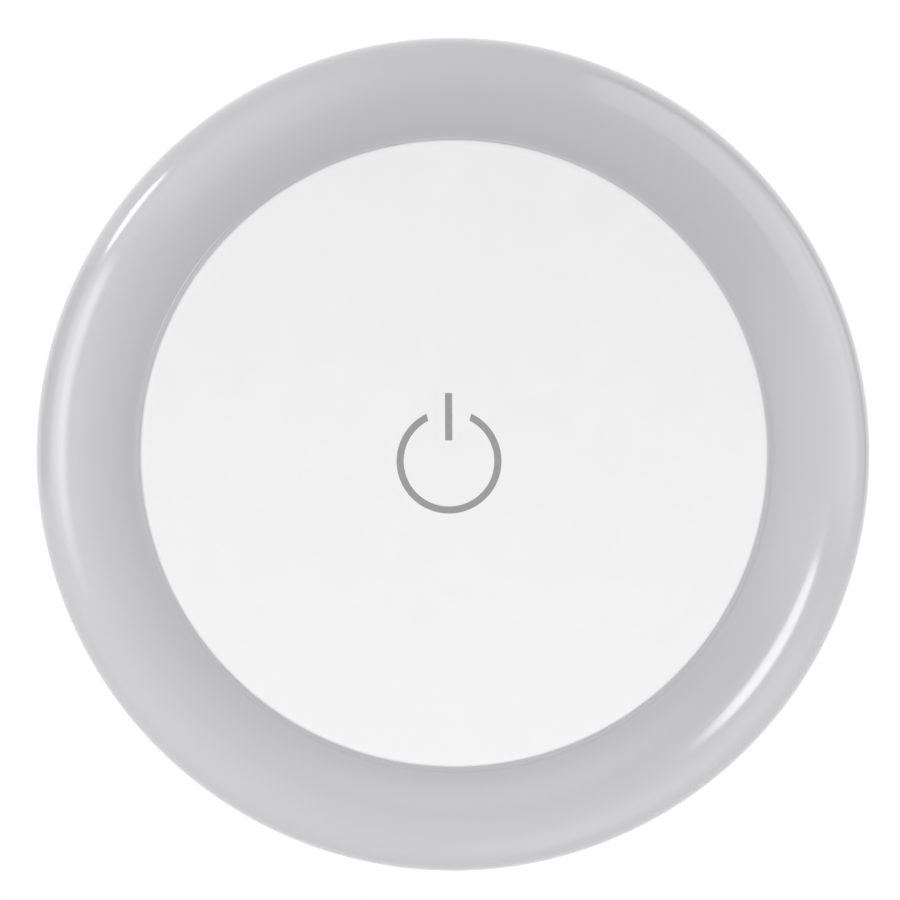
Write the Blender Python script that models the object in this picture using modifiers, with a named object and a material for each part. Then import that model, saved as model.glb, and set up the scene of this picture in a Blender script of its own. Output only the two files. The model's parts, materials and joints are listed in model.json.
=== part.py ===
"""A plug-in night light: a push disc inside a milky diffuser ring, over a housing with a two-pin plug.

Metres, +Z up. The front faces -Y and the plug pins point along +Y, into the wall.
The origin is the middle of the plug block's end face, between the two pins.
"""

import math

import bmesh
import bpy
from mathutils import Matrix

# Whole object
BODY_DIAMETER = 0.080
BODY_DEPTH = 0.026
RING_WIDTH = 0.01005
PLUG_BLOCK_LENGTH = 0.018
PIN_LENGTH = 0.019
PIN_SPACING = 0.019
PUSH_TRAVEL = 0.001

# Clearances shared by all the pieces
SEAT_GAP = 0.0003
SOLDER_GAP = 0.0001
EDGE_GAP = 0.0002
CUT_OVERRUN = 0.0005
JOIN_OVERLAP = 0.0004

# Mesh settings
RING_STEPS = 56
ROD_STEPS = 20
CORNER_STEPS = 4
SHARP_ANGLE = math.radians(35)
MERGE_DISTANCE = 0.000005

# Push disc
DISC_THICKNESS = 0.0018
DISC_EDGE_BEVEL = 0.0003
DISC_PROUD = 0.0001
SKIRT_WALL = 0.0012
SKIRT_DEPTH = 0.0052
STEM_RADIUS = 0.0030
RIB_COUNT = 6
RIB_THICKNESS = 0.0010
RIB_HEIGHT = 0.0015
HOOK_COUNT = 3
HOOK_FIRST_ANGLE = math.radians(30)
HOOK_WIDTH = 0.0040
HOOK_THICKNESS = 0.0015
HOOK_INSET = 0.0042
BARB_REACH = 0.0009
BARB_LENGTH = 0.0015

# Printed power symbol, an inlay in the disc's face
MARK_RING_RADIUS = 0.00500
MARK_STROKE = 0.00067
MARK_BAR_LENGTH = 0.00448
MARK_BAR_RISE = 0.00419
MARK_OPENING = math.radians(52)
MARK_SHIFT_X = -0.00037
MARK_SHIFT_Z = -0.00073
MARK_THICKNESS = 0.00025
MARK_GAP = 0.00003
MARK_STEPS = 40

# Diffuser ring
DIFFUSER_WALL = 0.0016
DIFFUSER_EDGE_ROUND = 0.0005
DIFFUSER_SIDE_HEIGHT = 0.0067
DIFFUSER_DRAFT = 0.0004
DOME_POWER = 2.15
DOME_STEPS = 8
DOME_INNER_STEPS = 5
COLLAR_WALL = 0.0012
SPIGOT_WALL = 0.0010
SPIGOT_LENGTH = 0.0022
SNAP_BEAD = 0.0006
SNAP_BEAD_WIDTH = 0.0006

# Rear housing
HOUSING_DEPTH = 0.0107
HOUSING_WALL = 0.0018
HOUSING_CORNER = 0.0082
BACK_CORNER_STEPS = 6
INNER_CORNER_STEPS = 4
POST_COUNT = 3
POST_FIRST_ANGLE = math.radians(90)
POST_RADIUS = 0.0030
POST_INSET = 0.0048
BOSS_RADIUS = 0.0027
BOSS_HEIGHT = 0.0035
REST_RADIUS = 0.0020
REST_OFFSET = 0.0190
PILOT_RADIUS = 0.0013
POST_PILOT_DEPTH = 0.0090
PILOT_FLOOR = 0.0006

# Plug block and pins
PLUG_WIDTH = 0.0353
PLUG_HEIGHT = 0.0137
PLUG_CHAMFER = 0.0046
PLUG_WALL = 0.0018
PLUG_END_WALL = 0.0040
FLANGE_BORDER_X = 0.0058
FLANGE_BORDER_Z = 0.0017
FLANGE_THICKNESS = 0.0016
FLANGE_CORNER = 0.0040
PLUG_EDGE_BEVEL = 0.0007
BOARD_SCREW_OUTSET = 0.00310
PIN_RADIUS = 0.0020
PIN_TIP_ROUND = 0.0017
PIN_NECK_RADIUS = 0.00145
PIN_COLLAR_RADIUS = 0.0028
PIN_COLLAR_LENGTH = 0.0015
PIN_STUB_RADIUS = 0.00115
RIVET_HEAD_RADIUS = 0.0017
RIVET_HEAD_LENGTH = 0.0005
SLEEVE_LENGTH = 0.0100
SLEEVE_RADIUS = 0.0019
SLEEVE_BORE = 0.0016
STRIP_THICKNESS = 0.0006
STRIP_WIDTH = 0.0030
STRIP_FOOT_INNER = 0.0019
STRIP_LEG_OFFSET = 0.0031
STRIP_TAIL = 0.0006

# Inner frame
FRAME_THICKNESS = 0.0016
FRAME_INSET = 0.0037
STOP_HEIGHT = 0.0019
STOP_WALL = 0.0014
STOP_INSET = 0.00015
GUIDE_WALL = 0.0015
GUIDE_HEIGHT = 0.0023
GUIDE_CLEARANCE = 0.0004
LIP_WALL = 0.0008
LIP_HEIGHT = 0.0013
SKIRTING_HEIGHT = 0.0020
HOOK_SLOT_INSIDE = 0.0006
HOOK_SLOT_OUTSIDE = 0.0004
SCREW_HOLE_RADIUS = 0.0015
LEAD_HOLE_RADIUS = 0.0017
LEAD_HOLE_INSET = 0.0041

# LED board and LEDs
LED_BOARD_THICKNESS = 0.0010
LED_COUNT = 6
LED_FIRST_ANGLE = math.radians(30)
LED_LENGTH = 0.0035
LED_WIDTH = 0.0028
LED_HEIGHT = 0.0008
LED_WINDOW_RADIUS = 0.0011
LED_WINDOW_DEPTH = 0.0003

# Power board and what is on it
BOARD_THICKNESS = 0.0016
BOARD_INSET = 0.00275
NOTCH_CLEARANCE = 0.0005
BOARD_PLAY = 0.0003
FILM_CAPACITOR_SIZE = (0.0120, 0.0120, 0.0060)
ELECTROLYTIC_RADIUS = 0.0028
ELECTROLYTIC_LENGTH = 0.0110
ELECTROLYTIC_GROOVE = 0.0003
ELECTROLYTIC_SEAL_LENGTH = 0.0012
ELECTROLYTIC_PLACE = (-0.0010, -0.0120)
RECTIFIER_SIZE = (0.0047, 0.0025, 0.0039)
RECTIFIER_PLACE = (0.0110, -0.0120)
FUSIBLE_SIZE = (0.0016, 0.0080)
FUSIBLE_PLACE = (-0.0100, 0.0100)
BLEED_SIZE = (0.0012, 0.0063)
BLEED_PLACE = (0.0100, 0.0100)
RESISTOR_WAIST = 0.0002
RESISTOR_CAP_LENGTH = 0.0014
COMPONENT_LEAD_RADIUS = 0.0003
COMPONENT_LEAD_OUTSET = 0.0016
VARISTOR_RADIUS = 0.0035
VARISTOR_THICKNESS = 0.0028
VARISTOR_POST_GAP = 0.00195
SMALL_BEVEL = 0.0003

# Push switch
SWITCH_SIZE = 0.0084
SWITCH_HEIGHT = 0.0052
SWITCH_FLOOR = 0.0008
SWITCH_BORE = 0.0029
COVER_THICKNESS = 0.0004
PLUNGER_RADIUS = 0.0018
PLUNGER_CLEARANCE = 0.0003
PLUNGER_FLANGE_RADIUS = 0.0026
PLUNGER_FLANGE = 0.0008
PLUNGER_PROUD = 0.0003
SPRING_RADIUS = 0.0019
SPRING_WIRE = 0.00016
SPRING_TURNS = 4
SPRING_POINTS = 12
TERMINAL_WIDTH = 0.0012
TERMINAL_THICKNESS = 0.0004
TERMINAL_FOOT = 0.0012
TERMINAL_RISE = 0.0020

# Screws
SCREW_SHANK_RADIUS = 0.0010
SCREW_HEAD_RADIUS = 0.0022
SCREW_HEAD_HEIGHT = 0.0015
SCREW_HEAD_CROWN = 0.0005
SCREW_POINT = 0.0010
FRAME_SCREW_BITE = 0.0070
CROSS_LENGTH = 0.0024
CROSS_WIDTH = 0.0006
CROSS_DEPTH = 0.0008

# Leads between the two boards
LEAD_RADIUS = 0.0005
LEAD_SPACING = 0.0016
LEAD_START = (0.0165, -0.0062)
LEAD_RISE = 0.0022
LEAD_BOW = 0.0012
LEAD_POINTS = 14

# Places worked out from the sizes above
BODY_RADIUS = BODY_DIAMETER / 2
BACK_Y = -PLUG_BLOCK_LENGTH
FRONT_Y = BACK_Y - BODY_DEPTH
RING_HOLE_RADIUS = BODY_RADIUS - RING_WIDTH
DISC_RADIUS = RING_HOLE_RADIUS - EDGE_GAP
DISC_BACK_Y = FRONT_Y + DISC_THICKNESS
SKIRT_END_Y = FRONT_Y + SKIRT_DEPTH
RING_FRONT_Y = FRONT_Y + DISC_PROUD
STOP_Y = SKIRT_END_Y + PUSH_TRAVEL + SEAT_GAP
FRAME_FRONT_Y = STOP_Y + STOP_HEIGHT
FRAME_BACK_Y = FRAME_FRONT_Y + FRAME_THICKNESS
LED_BOARD_BACK_Y = FRAME_FRONT_Y - SEAT_GAP
LED_BOARD_FRONT_Y = LED_BOARD_BACK_Y - LED_BOARD_THICKNESS
COLLAR_END_Y = LED_BOARD_FRONT_Y - SEAT_GAP
HOUSING_RIM_Y = BACK_Y - HOUSING_DEPTH
DIFFUSER_BACK_Y = HOUSING_RIM_Y - SEAT_GAP
FLOOR_Y = BACK_Y - HOUSING_WALL
POST_TOP_Y = FRAME_BACK_Y + SEAT_GAP
BOSS_TOP_Y = FLOOR_Y - BOSS_HEIGHT
FLANGE_BACK_Y = BOSS_TOP_Y - SEAT_GAP
FLANGE_FRONT_Y = FLANGE_BACK_Y - FLANGE_THICKNESS
BOARD_BACK_Y = FLANGE_FRONT_Y - SEAT_GAP
BOARD_FRONT_Y = BOARD_BACK_Y - BOARD_THICKNESS
PART_BASE_Y = BOARD_FRONT_Y - SOLDER_GAP
SWITCH_FRONT_Y = PART_BASE_Y - SWITCH_HEIGHT
COVER_BACK_Y = SWITCH_FRONT_Y - SOLDER_GAP
COVER_FRONT_Y = COVER_BACK_Y - COVER_THICKNESS
PLUNGER_FLANGE_Y = COVER_BACK_Y + SEAT_GAP
PLUNGER_BASE_Y = PLUNGER_FLANGE_Y + PLUNGER_FLANGE
PLUNGER_TIP_Y = FRAME_FRONT_Y - PLUNGER_PROUD
STEM_END_Y = PLUNGER_TIP_Y - SEAT_GAP
SWITCH_FLOOR_Y = PART_BASE_Y - SWITCH_FLOOR
FRAME_RADIUS = BODY_RADIUS - FRAME_INSET
STOP_RADIUS = DISC_RADIUS - STOP_INSET
LED_BOARD_INNER = STOP_RADIUS + SEAT_GAP
LED_BOARD_OUTER = FRAME_RADIUS - LIP_WALL - SEAT_GAP
LED_RING_RADIUS = (LED_BOARD_INNER + LED_BOARD_OUTER + COLLAR_WALL) / 2
CORNER_RADIUS = min(HOUSING_CORNER, HOUSING_DEPTH - SPIGOT_LENGTH - SEAT_GAP)
POST_RING_RADIUS = DISC_RADIUS - POST_INSET
VARISTOR_Z = POST_RING_RADIUS - POST_RADIUS - VARISTOR_POST_GAP - VARISTOR_RADIUS
HOOK_OUTER = DISC_RADIUS - SKIRT_WALL - HOOK_INSET
HOOK_INNER = HOOK_OUTER - HOOK_THICKNESS
BOARD_RADIUS = DISC_RADIUS - BOARD_INSET
BOARD_SCREW_X = PLUG_WIDTH / 2 + BOARD_SCREW_OUTSET
STRIP_FOOT_Y = -PLUG_END_WALL - SEAT_GAP - PIN_COLLAR_LENGTH - SEAT_GAP
STRIP_LEG_X = PIN_SPACING / 2 + STRIP_LEG_OFFSET

# Colours as red, green and blue, with roughness and metallic
FINISHES = {
    "disc_white": ((0.86, 0.86, 0.87), 0.55, 0.0),
    "print_grey": ((0.36, 0.36, 0.37), 0.60, 0.0),
    "diffuser_milky": ((0.60, 0.60, 0.63), 0.18, 0.0),
    "housing_white": ((0.84, 0.84, 0.85), 0.35, 0.0),
    "sleeve_grey": ((0.55, 0.55, 0.56), 0.45, 0.0),
    "pin_nickel": ((0.72, 0.70, 0.66), 0.25, 1.0),
    "strip_brass": ((0.74, 0.56, 0.26), 0.35, 1.0),
    "screw_steel": ((0.62, 0.62, 0.62), 0.35, 1.0),
    "frame_white": ((0.80, 0.80, 0.80), 0.50, 0.0),
    "board_green": ((0.05, 0.24, 0.11), 0.45, 0.0),
    "board_white": ((0.85, 0.85, 0.83), 0.40, 0.0),
    "led_yellow": ((0.90, 0.78, 0.30), 0.40, 0.0),
    "capacitor_yellow": ((0.85, 0.62, 0.08), 0.40, 0.0),
    "capacitor_black": ((0.03, 0.03, 0.04), 0.35, 0.0),
    "chip_black": ((0.02, 0.02, 0.02), 0.50, 0.0),
    "resistor_blue": ((0.12, 0.32, 0.55), 0.45, 0.0),
    "resistor_tan": ((0.62, 0.50, 0.34), 0.50, 0.0),
    "varistor_blue": ((0.05, 0.16, 0.48), 0.45, 0.0),
    "switch_black": ((0.03, 0.03, 0.03), 0.50, 0.0),
    "plunger_white": ((0.80, 0.80, 0.78), 0.45, 0.0),
    "lead_red": ((0.60, 0.03, 0.03), 0.45, 0.0),
    "lead_black": ((0.02, 0.02, 0.02), 0.45, 0.0),
}


def clear_scene():
    for obj in list(bpy.data.objects):
        bpy.data.objects.remove(obj, do_unlink=True)


def new_collection(name, parent):
    group = bpy.data.collections.new(name)
    parent.children.link(group)
    return group


def make_materials():
    made = {}
    for name, (colour, roughness, metallic) in FINISHES.items():
        material = bpy.data.materials.new(name)
        material.use_nodes = True
        shader = material.node_tree.nodes["Principled BSDF"]
        shader.inputs["Base Color"].default_value = (*colour, 1.0)
        shader.inputs["Roughness"].default_value = roughness
        shader.inputs["Metallic"].default_value = metallic
        material.diffuse_color = (*colour, 1.0)
        made[name] = material
    return made


def node(name, obj, finish):
    """Name an object and give it its own finish, as one piece of the light."""
    obj.name = name
    obj.data.name = name
    obj.data.materials.clear()
    obj.data.materials.append(MATERIALS[finish])
    return obj


def helper(obj, group):
    """Keep an object only as a tool for others, out of the render."""
    PARTS.objects.unlink(obj)
    group.objects.link(obj)
    obj.hide_render = True
    obj.display_type = "WIRE"


def combine(obj, operation, tools):
    """Join the tools to an object, or cut them from it, in one Boolean."""
    group = new_collection(f"{obj.name}_{operation.lower()}_{len(obj.modifiers)}", TOOLS)
    for tool in tools:
        helper(tool, group)
    boolean = obj.modifiers.new(operation.lower(), "BOOLEAN")
    boolean.operation = operation
    boolean.operand_type = "COLLECTION"
    boolean.collection = group


def add_bevel(obj, width, segments=1):
    bevel = obj.modifiers.new("edges", "BEVEL")
    bevel.width = width
    bevel.segments = segments
    bevel.limit_method = "ANGLE"
    bevel.angle_limit = SHARP_ANGLE


def new_object(name, data, x=0.0, y=0.0, z=0.0):
    obj = bpy.data.objects.new(name, data)
    obj.location = (x, y, z)
    PARTS.objects.link(obj)
    return obj


def turned(name, profile, closed=False, steps=RING_STEPS, x=0.0, z=0.0):
    """Turn (radius, y) points about an axis along Y. The outer side runs from back to front."""
    count = len(profile)
    edges = [(i, i + 1) for i in range(count - 1)]
    if closed:
        edges.append((count - 1, 0))
    mesh = bpy.data.meshes.new(name)
    mesh.from_pydata([(radius, y, 0.0) for radius, y in profile], edges, [])
    obj = new_object(name, mesh, x=x, z=z)
    screw = obj.modifiers.new("turn", "SCREW")
    screw.axis = "Y"
    screw.steps = screw.render_steps = steps
    screw.use_merge_vertices = True
    screw.merge_threshold = MERGE_DISTANCE
    screw.use_smooth_shade = True
    return obj


def rod(name, radius, front_y, back_y, x=0.0, z=0.0, steps=ROD_STEPS):
    """A round bar along Y between two places."""
    mesh = bpy.data.meshes.new(name)
    build = bmesh.new()
    bmesh.ops.create_cone(
        build,
        cap_ends=True,
        segments=steps,
        radius1=radius,
        radius2=radius,
        depth=back_y - front_y,
        matrix=Matrix.Rotation(math.radians(90), 4, "X"),
    )
    build.to_mesh(mesh)
    build.free()
    mesh.shade_smooth()
    mesh.set_sharp_from_angle(angle=SHARP_ANGLE)
    return new_object(name, mesh, x=x, y=(front_y + back_y) / 2, z=z)


def block(name, size, centre):
    mesh = bpy.data.meshes.new(name)
    build = bmesh.new()
    bmesh.ops.create_cube(build, size=1.0, matrix=Matrix.Diagonal((*size, 1.0)))
    build.to_mesh(mesh)
    build.free()
    return new_object(name, mesh, *centre)


def plate(name, outlines, thickness, place=Matrix()):
    """A flat piece cut to its outlines, of which the inner ones are holes, as a mesh."""
    curve = bpy.data.curves.new(name, "CURVE")
    curve.dimensions = "2D"
    curve.fill_mode = "BOTH"
    curve.extrude = thickness / 2
    for points in outlines:
        spline = curve.splines.new("POLY")
        spline.points.add(len(points) - 1)
        for point, (u, v) in zip(spline.points, points):
            point.co = (u, v, 0.0, 1.0)
        spline.use_cyclic_u = True
    drawn = new_object(name, curve)
    drawn.matrix_world = place
    return meshed(drawn)


def meshed(drawn):
    """Turn a curve object into a closed mesh object in the same place."""
    bpy.context.view_layer.update()
    graph = bpy.context.evaluated_depsgraph_get()
    mesh = bpy.data.meshes.new_from_object(drawn.evaluated_get(graph))
    build = bmesh.new()
    build.from_mesh(mesh)
    bmesh.ops.remove_doubles(build, verts=build.verts, dist=MERGE_DISTANCE)
    bmesh.ops.recalc_face_normals(build, faces=build.faces)
    build.to_mesh(mesh)
    build.free()
    obj = bpy.data.objects.new(drawn.name, mesh)
    obj.matrix_world = drawn.matrix_world
    PARTS.objects.link(obj)
    bpy.data.objects.remove(drawn)
    return obj


def facing(front_y, back_y):
    """A drawing plane seen from the front: u is +X and v is +Z, midway between two places."""
    middle = Matrix.Translation((0.0, (front_y + back_y) / 2, 0.0))
    return middle @ Matrix.Rotation(math.radians(90), 4, "X")


def wire(name, points, radius):
    curve = bpy.data.curves.new(name, "CURVE")
    curve.dimensions = "3D"
    curve.bevel_depth = radius
    curve.bevel_resolution = 2
    curve.use_fill_caps = True
    spline = curve.splines.new("POLY")
    spline.points.add(len(points) - 1)
    for point, place in zip(spline.points, points):
        point.co = (*place, 1.0)
    return new_object(name, curve)


def arc(centre, radius, start, end, steps):
    """Points on a circle, from one angle to another."""
    return [
        (
            centre[0] + radius * math.cos(start + (end - start) * i / steps),
            centre[1] + radius * math.sin(start + (end - start) * i / steps),
        )
        for i in range(steps + 1)
    ]


def quarter(centre, across, along, steps, power=2.0):
    """A quarter of a rounded corner, from its widest point to its furthest one along."""
    points = []
    for i in range(steps + 1):
        turn = math.radians(90) * i / steps
        points.append(
            (
                centre[0] + across * math.cos(turn) ** (2 / power),
                centre[1] + along * math.sin(turn) ** (2 / power),
            )
        )
    return points


def rounded_box(width, height, radius):
    """A rectangle about the middle with round corners."""
    points = []
    for corner, (u, v) in enumerate(((1, 1), (-1, 1), (-1, -1), (1, -1))):
        centre = (u * (width / 2 - radius), v * (height / 2 - radius))
        start = math.radians(90) * corner
        points += arc(centre, radius, start, start + math.radians(90), CORNER_STEPS)
    return points


def circle(centre, radius, steps=ROD_STEPS):
    return arc(centre, radius, 0.0, math.radians(360), steps)[:-1]


def plug_outline(border):
    """The plug block's long eight-sided outline, grown outwards by a border."""
    half_width = PLUG_WIDTH / 2 + border
    half_height = PLUG_HEIGHT / 2 + border
    cut = PLUG_CHAMFER + border * (2 - math.sqrt(2))
    quadrant = [(half_width, half_height - cut), (half_width - cut, half_height)]
    upper = quadrant + [(-u, v) for u, v in reversed(quadrant)]
    return upper + [(-u, -v) for u, v in upper]


def around(count, first_angle, radius):
    """(angle, x, z) of evenly spaced places on a circle about the Y axis."""
    places = []
    for i in range(count):
        angle = first_angle + math.radians(360) * i / count
        places.append((angle, radius * math.cos(angle), radius * math.sin(angle)))
    return places


def radial_plane(angle):
    """A drawing plane through the Y axis: u runs outwards at an angle, v runs along +Y."""
    return Matrix.Rotation(-angle, 4, "Y")


def posts():
    return around(POST_COUNT, POST_FIRST_ANGLE, POST_RING_RADIUS)


def mark_ring(grow, name, thickness, front_y):
    """The symbol's open circle, as a flat piece grown outwards all round."""
    middle = MARK_RING_RADIUS - MARK_STROKE / 2
    grow_angle = grow / middle
    start = math.radians(90) + MARK_OPENING / 2 - grow_angle
    end = math.radians(450) - MARK_OPENING / 2 + grow_angle
    outer = arc((0.0, 0.0), MARK_RING_RADIUS + grow, start, end, MARK_STEPS)
    inner = arc((0.0, 0.0), MARK_RING_RADIUS - MARK_STROKE - grow, end, start, MARK_STEPS)
    shift = Matrix.Translation((MARK_SHIFT_X, 0.0, MARK_SHIFT_Z))
    return plate(name, [outer + inner], thickness, shift @ facing(front_y, front_y + thickness))


def mark_bar(grow, name, thickness, front_y):
    """The symbol's bar, as a flat piece grown outwards all round."""
    size = (MARK_STROKE + 2 * grow, thickness, MARK_BAR_LENGTH + 2 * grow)
    return block(name, size, (MARK_SHIFT_X, front_y + thickness / 2, MARK_SHIFT_Z + MARK_BAR_RISE))


def make_push_plate():
    """The white push disc, with its skirt, stem, ribs and three hooks."""
    skirt_inner = DISC_RADIUS - SKIRT_WALL
    profile = [
        (0.0, DISC_BACK_Y),
        (skirt_inner, DISC_BACK_Y),
        (skirt_inner, SKIRT_END_Y),
        (DISC_RADIUS, SKIRT_END_Y),
        (DISC_RADIUS, FRONT_Y + DISC_EDGE_BEVEL),
        (DISC_RADIUS - DISC_EDGE_BEVEL, FRONT_Y),
        (0.0, FRONT_Y),
    ]
    disc = node("push_plate", turned("push_plate", profile), "disc_white")
    root_y = DISC_BACK_Y - JOIN_OVERLAP
    added = [rod("stem", STEM_RADIUS, root_y, STEM_END_Y)]
    rib_inner = STEM_RADIUS - JOIN_OVERLAP
    rib_length = skirt_inner + JOIN_OVERLAP - rib_inner
    rib_depth = JOIN_OVERLAP + RIB_HEIGHT
    for angle, x, z in around(RIB_COUNT, 0.0, rib_inner + rib_length / 2):
        rib = block("rib", (rib_length, rib_depth, RIB_THICKNESS), (x, root_y + rib_depth / 2, z))
        rib.rotation_euler.y = -angle
        added.append(rib)
    for angle, _, _ in around(HOOK_COUNT, HOOK_FIRST_ANGLE, HOOK_INNER):
        added.append(make_hook(angle, root_y))
    combine(disc, "UNION", added)
    pocket_front = FRONT_Y - CUT_OVERRUN
    pocket = CUT_OVERRUN + MARK_THICKNESS + MARK_GAP
    combine(
        disc,
        "DIFFERENCE",
        [
            mark_ring(MARK_GAP, "ring_pocket", pocket, pocket_front),
            mark_bar(MARK_GAP, "bar_pocket", pocket, pocket_front),
        ],
    )
    return disc


def make_hook(angle, root_y):
    """A springy leg whose barb catches behind the inner frame."""
    shoulder_y = FRAME_BACK_Y + SEAT_GAP
    tip_y = shoulder_y + BARB_LENGTH
    points = [
        (HOOK_INNER, root_y),
        (HOOK_OUTER, root_y),
        (HOOK_OUTER, shoulder_y),
        (HOOK_OUTER + BARB_REACH, shoulder_y),
        (HOOK_OUTER, tip_y),
        (HOOK_INNER, tip_y),
    ]
    return plate("hook", [points], HOOK_WIDTH, radial_plane(angle))


def make_power_mark(disc):
    """The grey symbol, as two thin inlays that travel with the disc."""
    for name, draw in (("power_mark_ring", mark_ring), ("power_mark_bar", mark_bar)):
        mark = node(name, draw(0.0, name, MARK_THICKNESS, FRONT_Y), "print_grey")
        mark.parent = disc


def make_diffuser():
    """The milky ring: a rounded shell with an inner collar and a spigot behind."""
    dome_centre = (RING_HOLE_RADIUS + DIFFUSER_EDGE_ROUND, DIFFUSER_BACK_Y - DIFFUSER_SIDE_HEIGHT)
    dome_across = BODY_RADIUS - dome_centre[0]
    dome_along = RING_FRONT_Y - dome_centre[1]
    spigot_outer = BODY_RADIUS - DIFFUSER_DRAFT - HOUSING_WALL - SEAT_GAP
    spigot_inner = spigot_outer - SPIGOT_WALL
    spigot_end_y = DIFFUSER_BACK_Y + SPIGOT_LENGTH + SEAT_GAP
    bead_y = DIFFUSER_BACK_Y + SEAT_GAP + SPIGOT_LENGTH / 2
    collar_outer = RING_HOLE_RADIUS + COLLAR_WALL
    edge_centre = (dome_centre[0], RING_FRONT_Y + DIFFUSER_EDGE_ROUND)
    outside = [
        (spigot_inner, spigot_end_y),
        (spigot_outer, spigot_end_y),
        (spigot_outer, bead_y + SNAP_BEAD_WIDTH),
        (spigot_outer + SNAP_BEAD, bead_y + SNAP_BEAD_WIDTH / 2),
        (spigot_outer + SNAP_BEAD, bead_y - SNAP_BEAD_WIDTH / 2),
        (spigot_outer, bead_y - SNAP_BEAD_WIDTH),
        (spigot_outer, DIFFUSER_BACK_Y),
        (BODY_RADIUS - DIFFUSER_DRAFT, DIFFUSER_BACK_Y),
    ]
    outside += quarter(dome_centre, dome_across, dome_along, DOME_STEPS, DOME_POWER)
    front, side = math.radians(270), math.radians(180)
    outside += arc(edge_centre, DIFFUSER_EDGE_ROUND, front, side, CORNER_STEPS)[1:]
    inside = [
        (RING_HOLE_RADIUS, COLLAR_END_Y),
        (collar_outer, COLLAR_END_Y),
        (collar_outer, RING_FRONT_Y + DIFFUSER_WALL),
    ]
    dome_inside = quarter(
        dome_centre,
        dome_across - DIFFUSER_WALL,
        dome_along + DIFFUSER_WALL,
        DOME_INNER_STEPS,
        DOME_POWER,
    )
    inside += [point for point in reversed(dome_inside) if point[0] > collar_outer]
    side_inner = BODY_RADIUS - DIFFUSER_WALL
    inside.append((side_inner, DIFFUSER_BACK_Y - (side_inner - spigot_inner)))
    inside.append((spigot_inner, DIFFUSER_BACK_Y))
    ring = turned("diffuser_ring", outside + inside, closed=True)
    node("diffuser_ring", ring, "diffuser_milky")


def housing_profile():
    rim_radius = BODY_RADIUS - DIFFUSER_DRAFT
    rim_inner = rim_radius - HOUSING_WALL
    groove = rim_inner + SNAP_BEAD
    groove_y = HOUSING_RIM_Y + SPIGOT_LENGTH / 2
    groove_half = SNAP_BEAD_WIDTH / 2 + SEAT_GAP
    corner = (rim_radius - CORNER_RADIUS, BACK_Y - CORNER_RADIUS)
    inner_corner = CORNER_RADIUS - HOUSING_WALL
    outside = [(0.0, BACK_Y)]
    outside += reversed(quarter(corner, CORNER_RADIUS, CORNER_RADIUS, BACK_CORNER_STEPS))
    outside.append((rim_radius, HOUSING_RIM_Y))
    inside = [
        (rim_inner, HOUSING_RIM_Y),
        (rim_inner, groove_y - groove_half - SNAP_BEAD / 2),
        (groove, groove_y - groove_half),
        (groove, groove_y + groove_half),
        (rim_inner, groove_y + groove_half + SNAP_BEAD / 2),
    ]
    inside += quarter(corner, inner_corner, inner_corner, INNER_CORNER_STEPS)
    inside.append((0.0, FLOOR_Y))
    return outside + inside


def make_rear_housing():
    """The shell behind the ring, with three tall posts, two screw bosses and two board rests."""
    housing = node("rear_housing", turned("rear_housing", housing_profile()), "housing_white")
    root_y = FLOOR_Y + JOIN_OVERLAP
    added = [rod("post", POST_RADIUS, POST_TOP_Y, root_y, x, z) for _, x, z in posts()]
    screw_x = (-BOARD_SCREW_X, BOARD_SCREW_X)
    added += [rod("boss", BOSS_RADIUS, BOSS_TOP_Y, root_y, x) for x in screw_x]
    rest_top_y = BOARD_BACK_Y + SEAT_GAP
    added += [rod("rest", REST_RADIUS, rest_top_y, root_y, z=z) for z in (-REST_OFFSET, REST_OFFSET)]
    combine(housing, "UNION", added)
    opening = plate(
        "opening",
        [plug_outline(SEAT_GAP)],
        HOUSING_WALL + 2 * CUT_OVERRUN,
        facing(FLOOR_Y, BACK_Y),
    )
    pilots = [
        rod("pilot", PILOT_RADIUS, POST_TOP_Y - CUT_OVERRUN, POST_TOP_Y + POST_PILOT_DEPTH, x, z)
        for _, x, z in posts()
    ]
    pilot_end_y = BACK_Y - PILOT_FLOOR
    pilots += [rod("pilot", PILOT_RADIUS, BOSS_TOP_Y - CUT_OVERRUN, pilot_end_y, x) for x in screw_x]
    combine(housing, "DIFFERENCE", [opening, *pilots])


def make_plug_insert():
    """The hollow plug block, with the flange that is clamped under the power board."""
    block_piece = plate("plug_insert", [plug_outline(0.0)], -FLANGE_FRONT_Y, facing(FLANGE_FRONT_Y, 0.0))
    insert = node("plug_insert", block_piece, "housing_white")
    add_bevel(insert, PLUG_EDGE_BEVEL)
    flange_width = 2 * BOARD_SCREW_X + FLANGE_BORDER_X
    flange_height = PLUG_HEIGHT + 2 * FLANGE_BORDER_Z
    holes = [circle((x, 0.0), SCREW_HOLE_RADIUS) for x in (-BOARD_SCREW_X, BOARD_SCREW_X)]
    flange = plate(
        "flange",
        [rounded_box(flange_width, flange_height, FLANGE_CORNER), *holes],
        FLANGE_THICKNESS,
        facing(FLANGE_FRONT_Y, FLANGE_BACK_Y),
    )
    combine(insert, "UNION", [flange])
    cavity_end_y = -PLUG_END_WALL
    cavity_start_y = FLANGE_FRONT_Y - CUT_OVERRUN
    cavity = plate(
        "cavity",
        [plug_outline(-PLUG_WALL)],
        cavity_end_y - cavity_start_y,
        facing(cavity_start_y, cavity_end_y),
    )
    hole_radius = SLEEVE_RADIUS + EDGE_GAP
    pin_holes = [
        rod("pin_hole", hole_radius, cavity_end_y - CUT_OVERRUN, CUT_OVERRUN, side * PIN_SPACING / 2)
        for side in (-1, 1)
    ]
    post_ways = [
        rod("post_way", POST_RADIUS + NOTCH_CLEARANCE, cavity_start_y, FLANGE_BACK_Y + CUT_OVERRUN, x, z)
        for _, x, z in posts()
    ]
    combine(insert, "DIFFERENCE", [cavity, *pin_holes, *post_ways])


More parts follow.
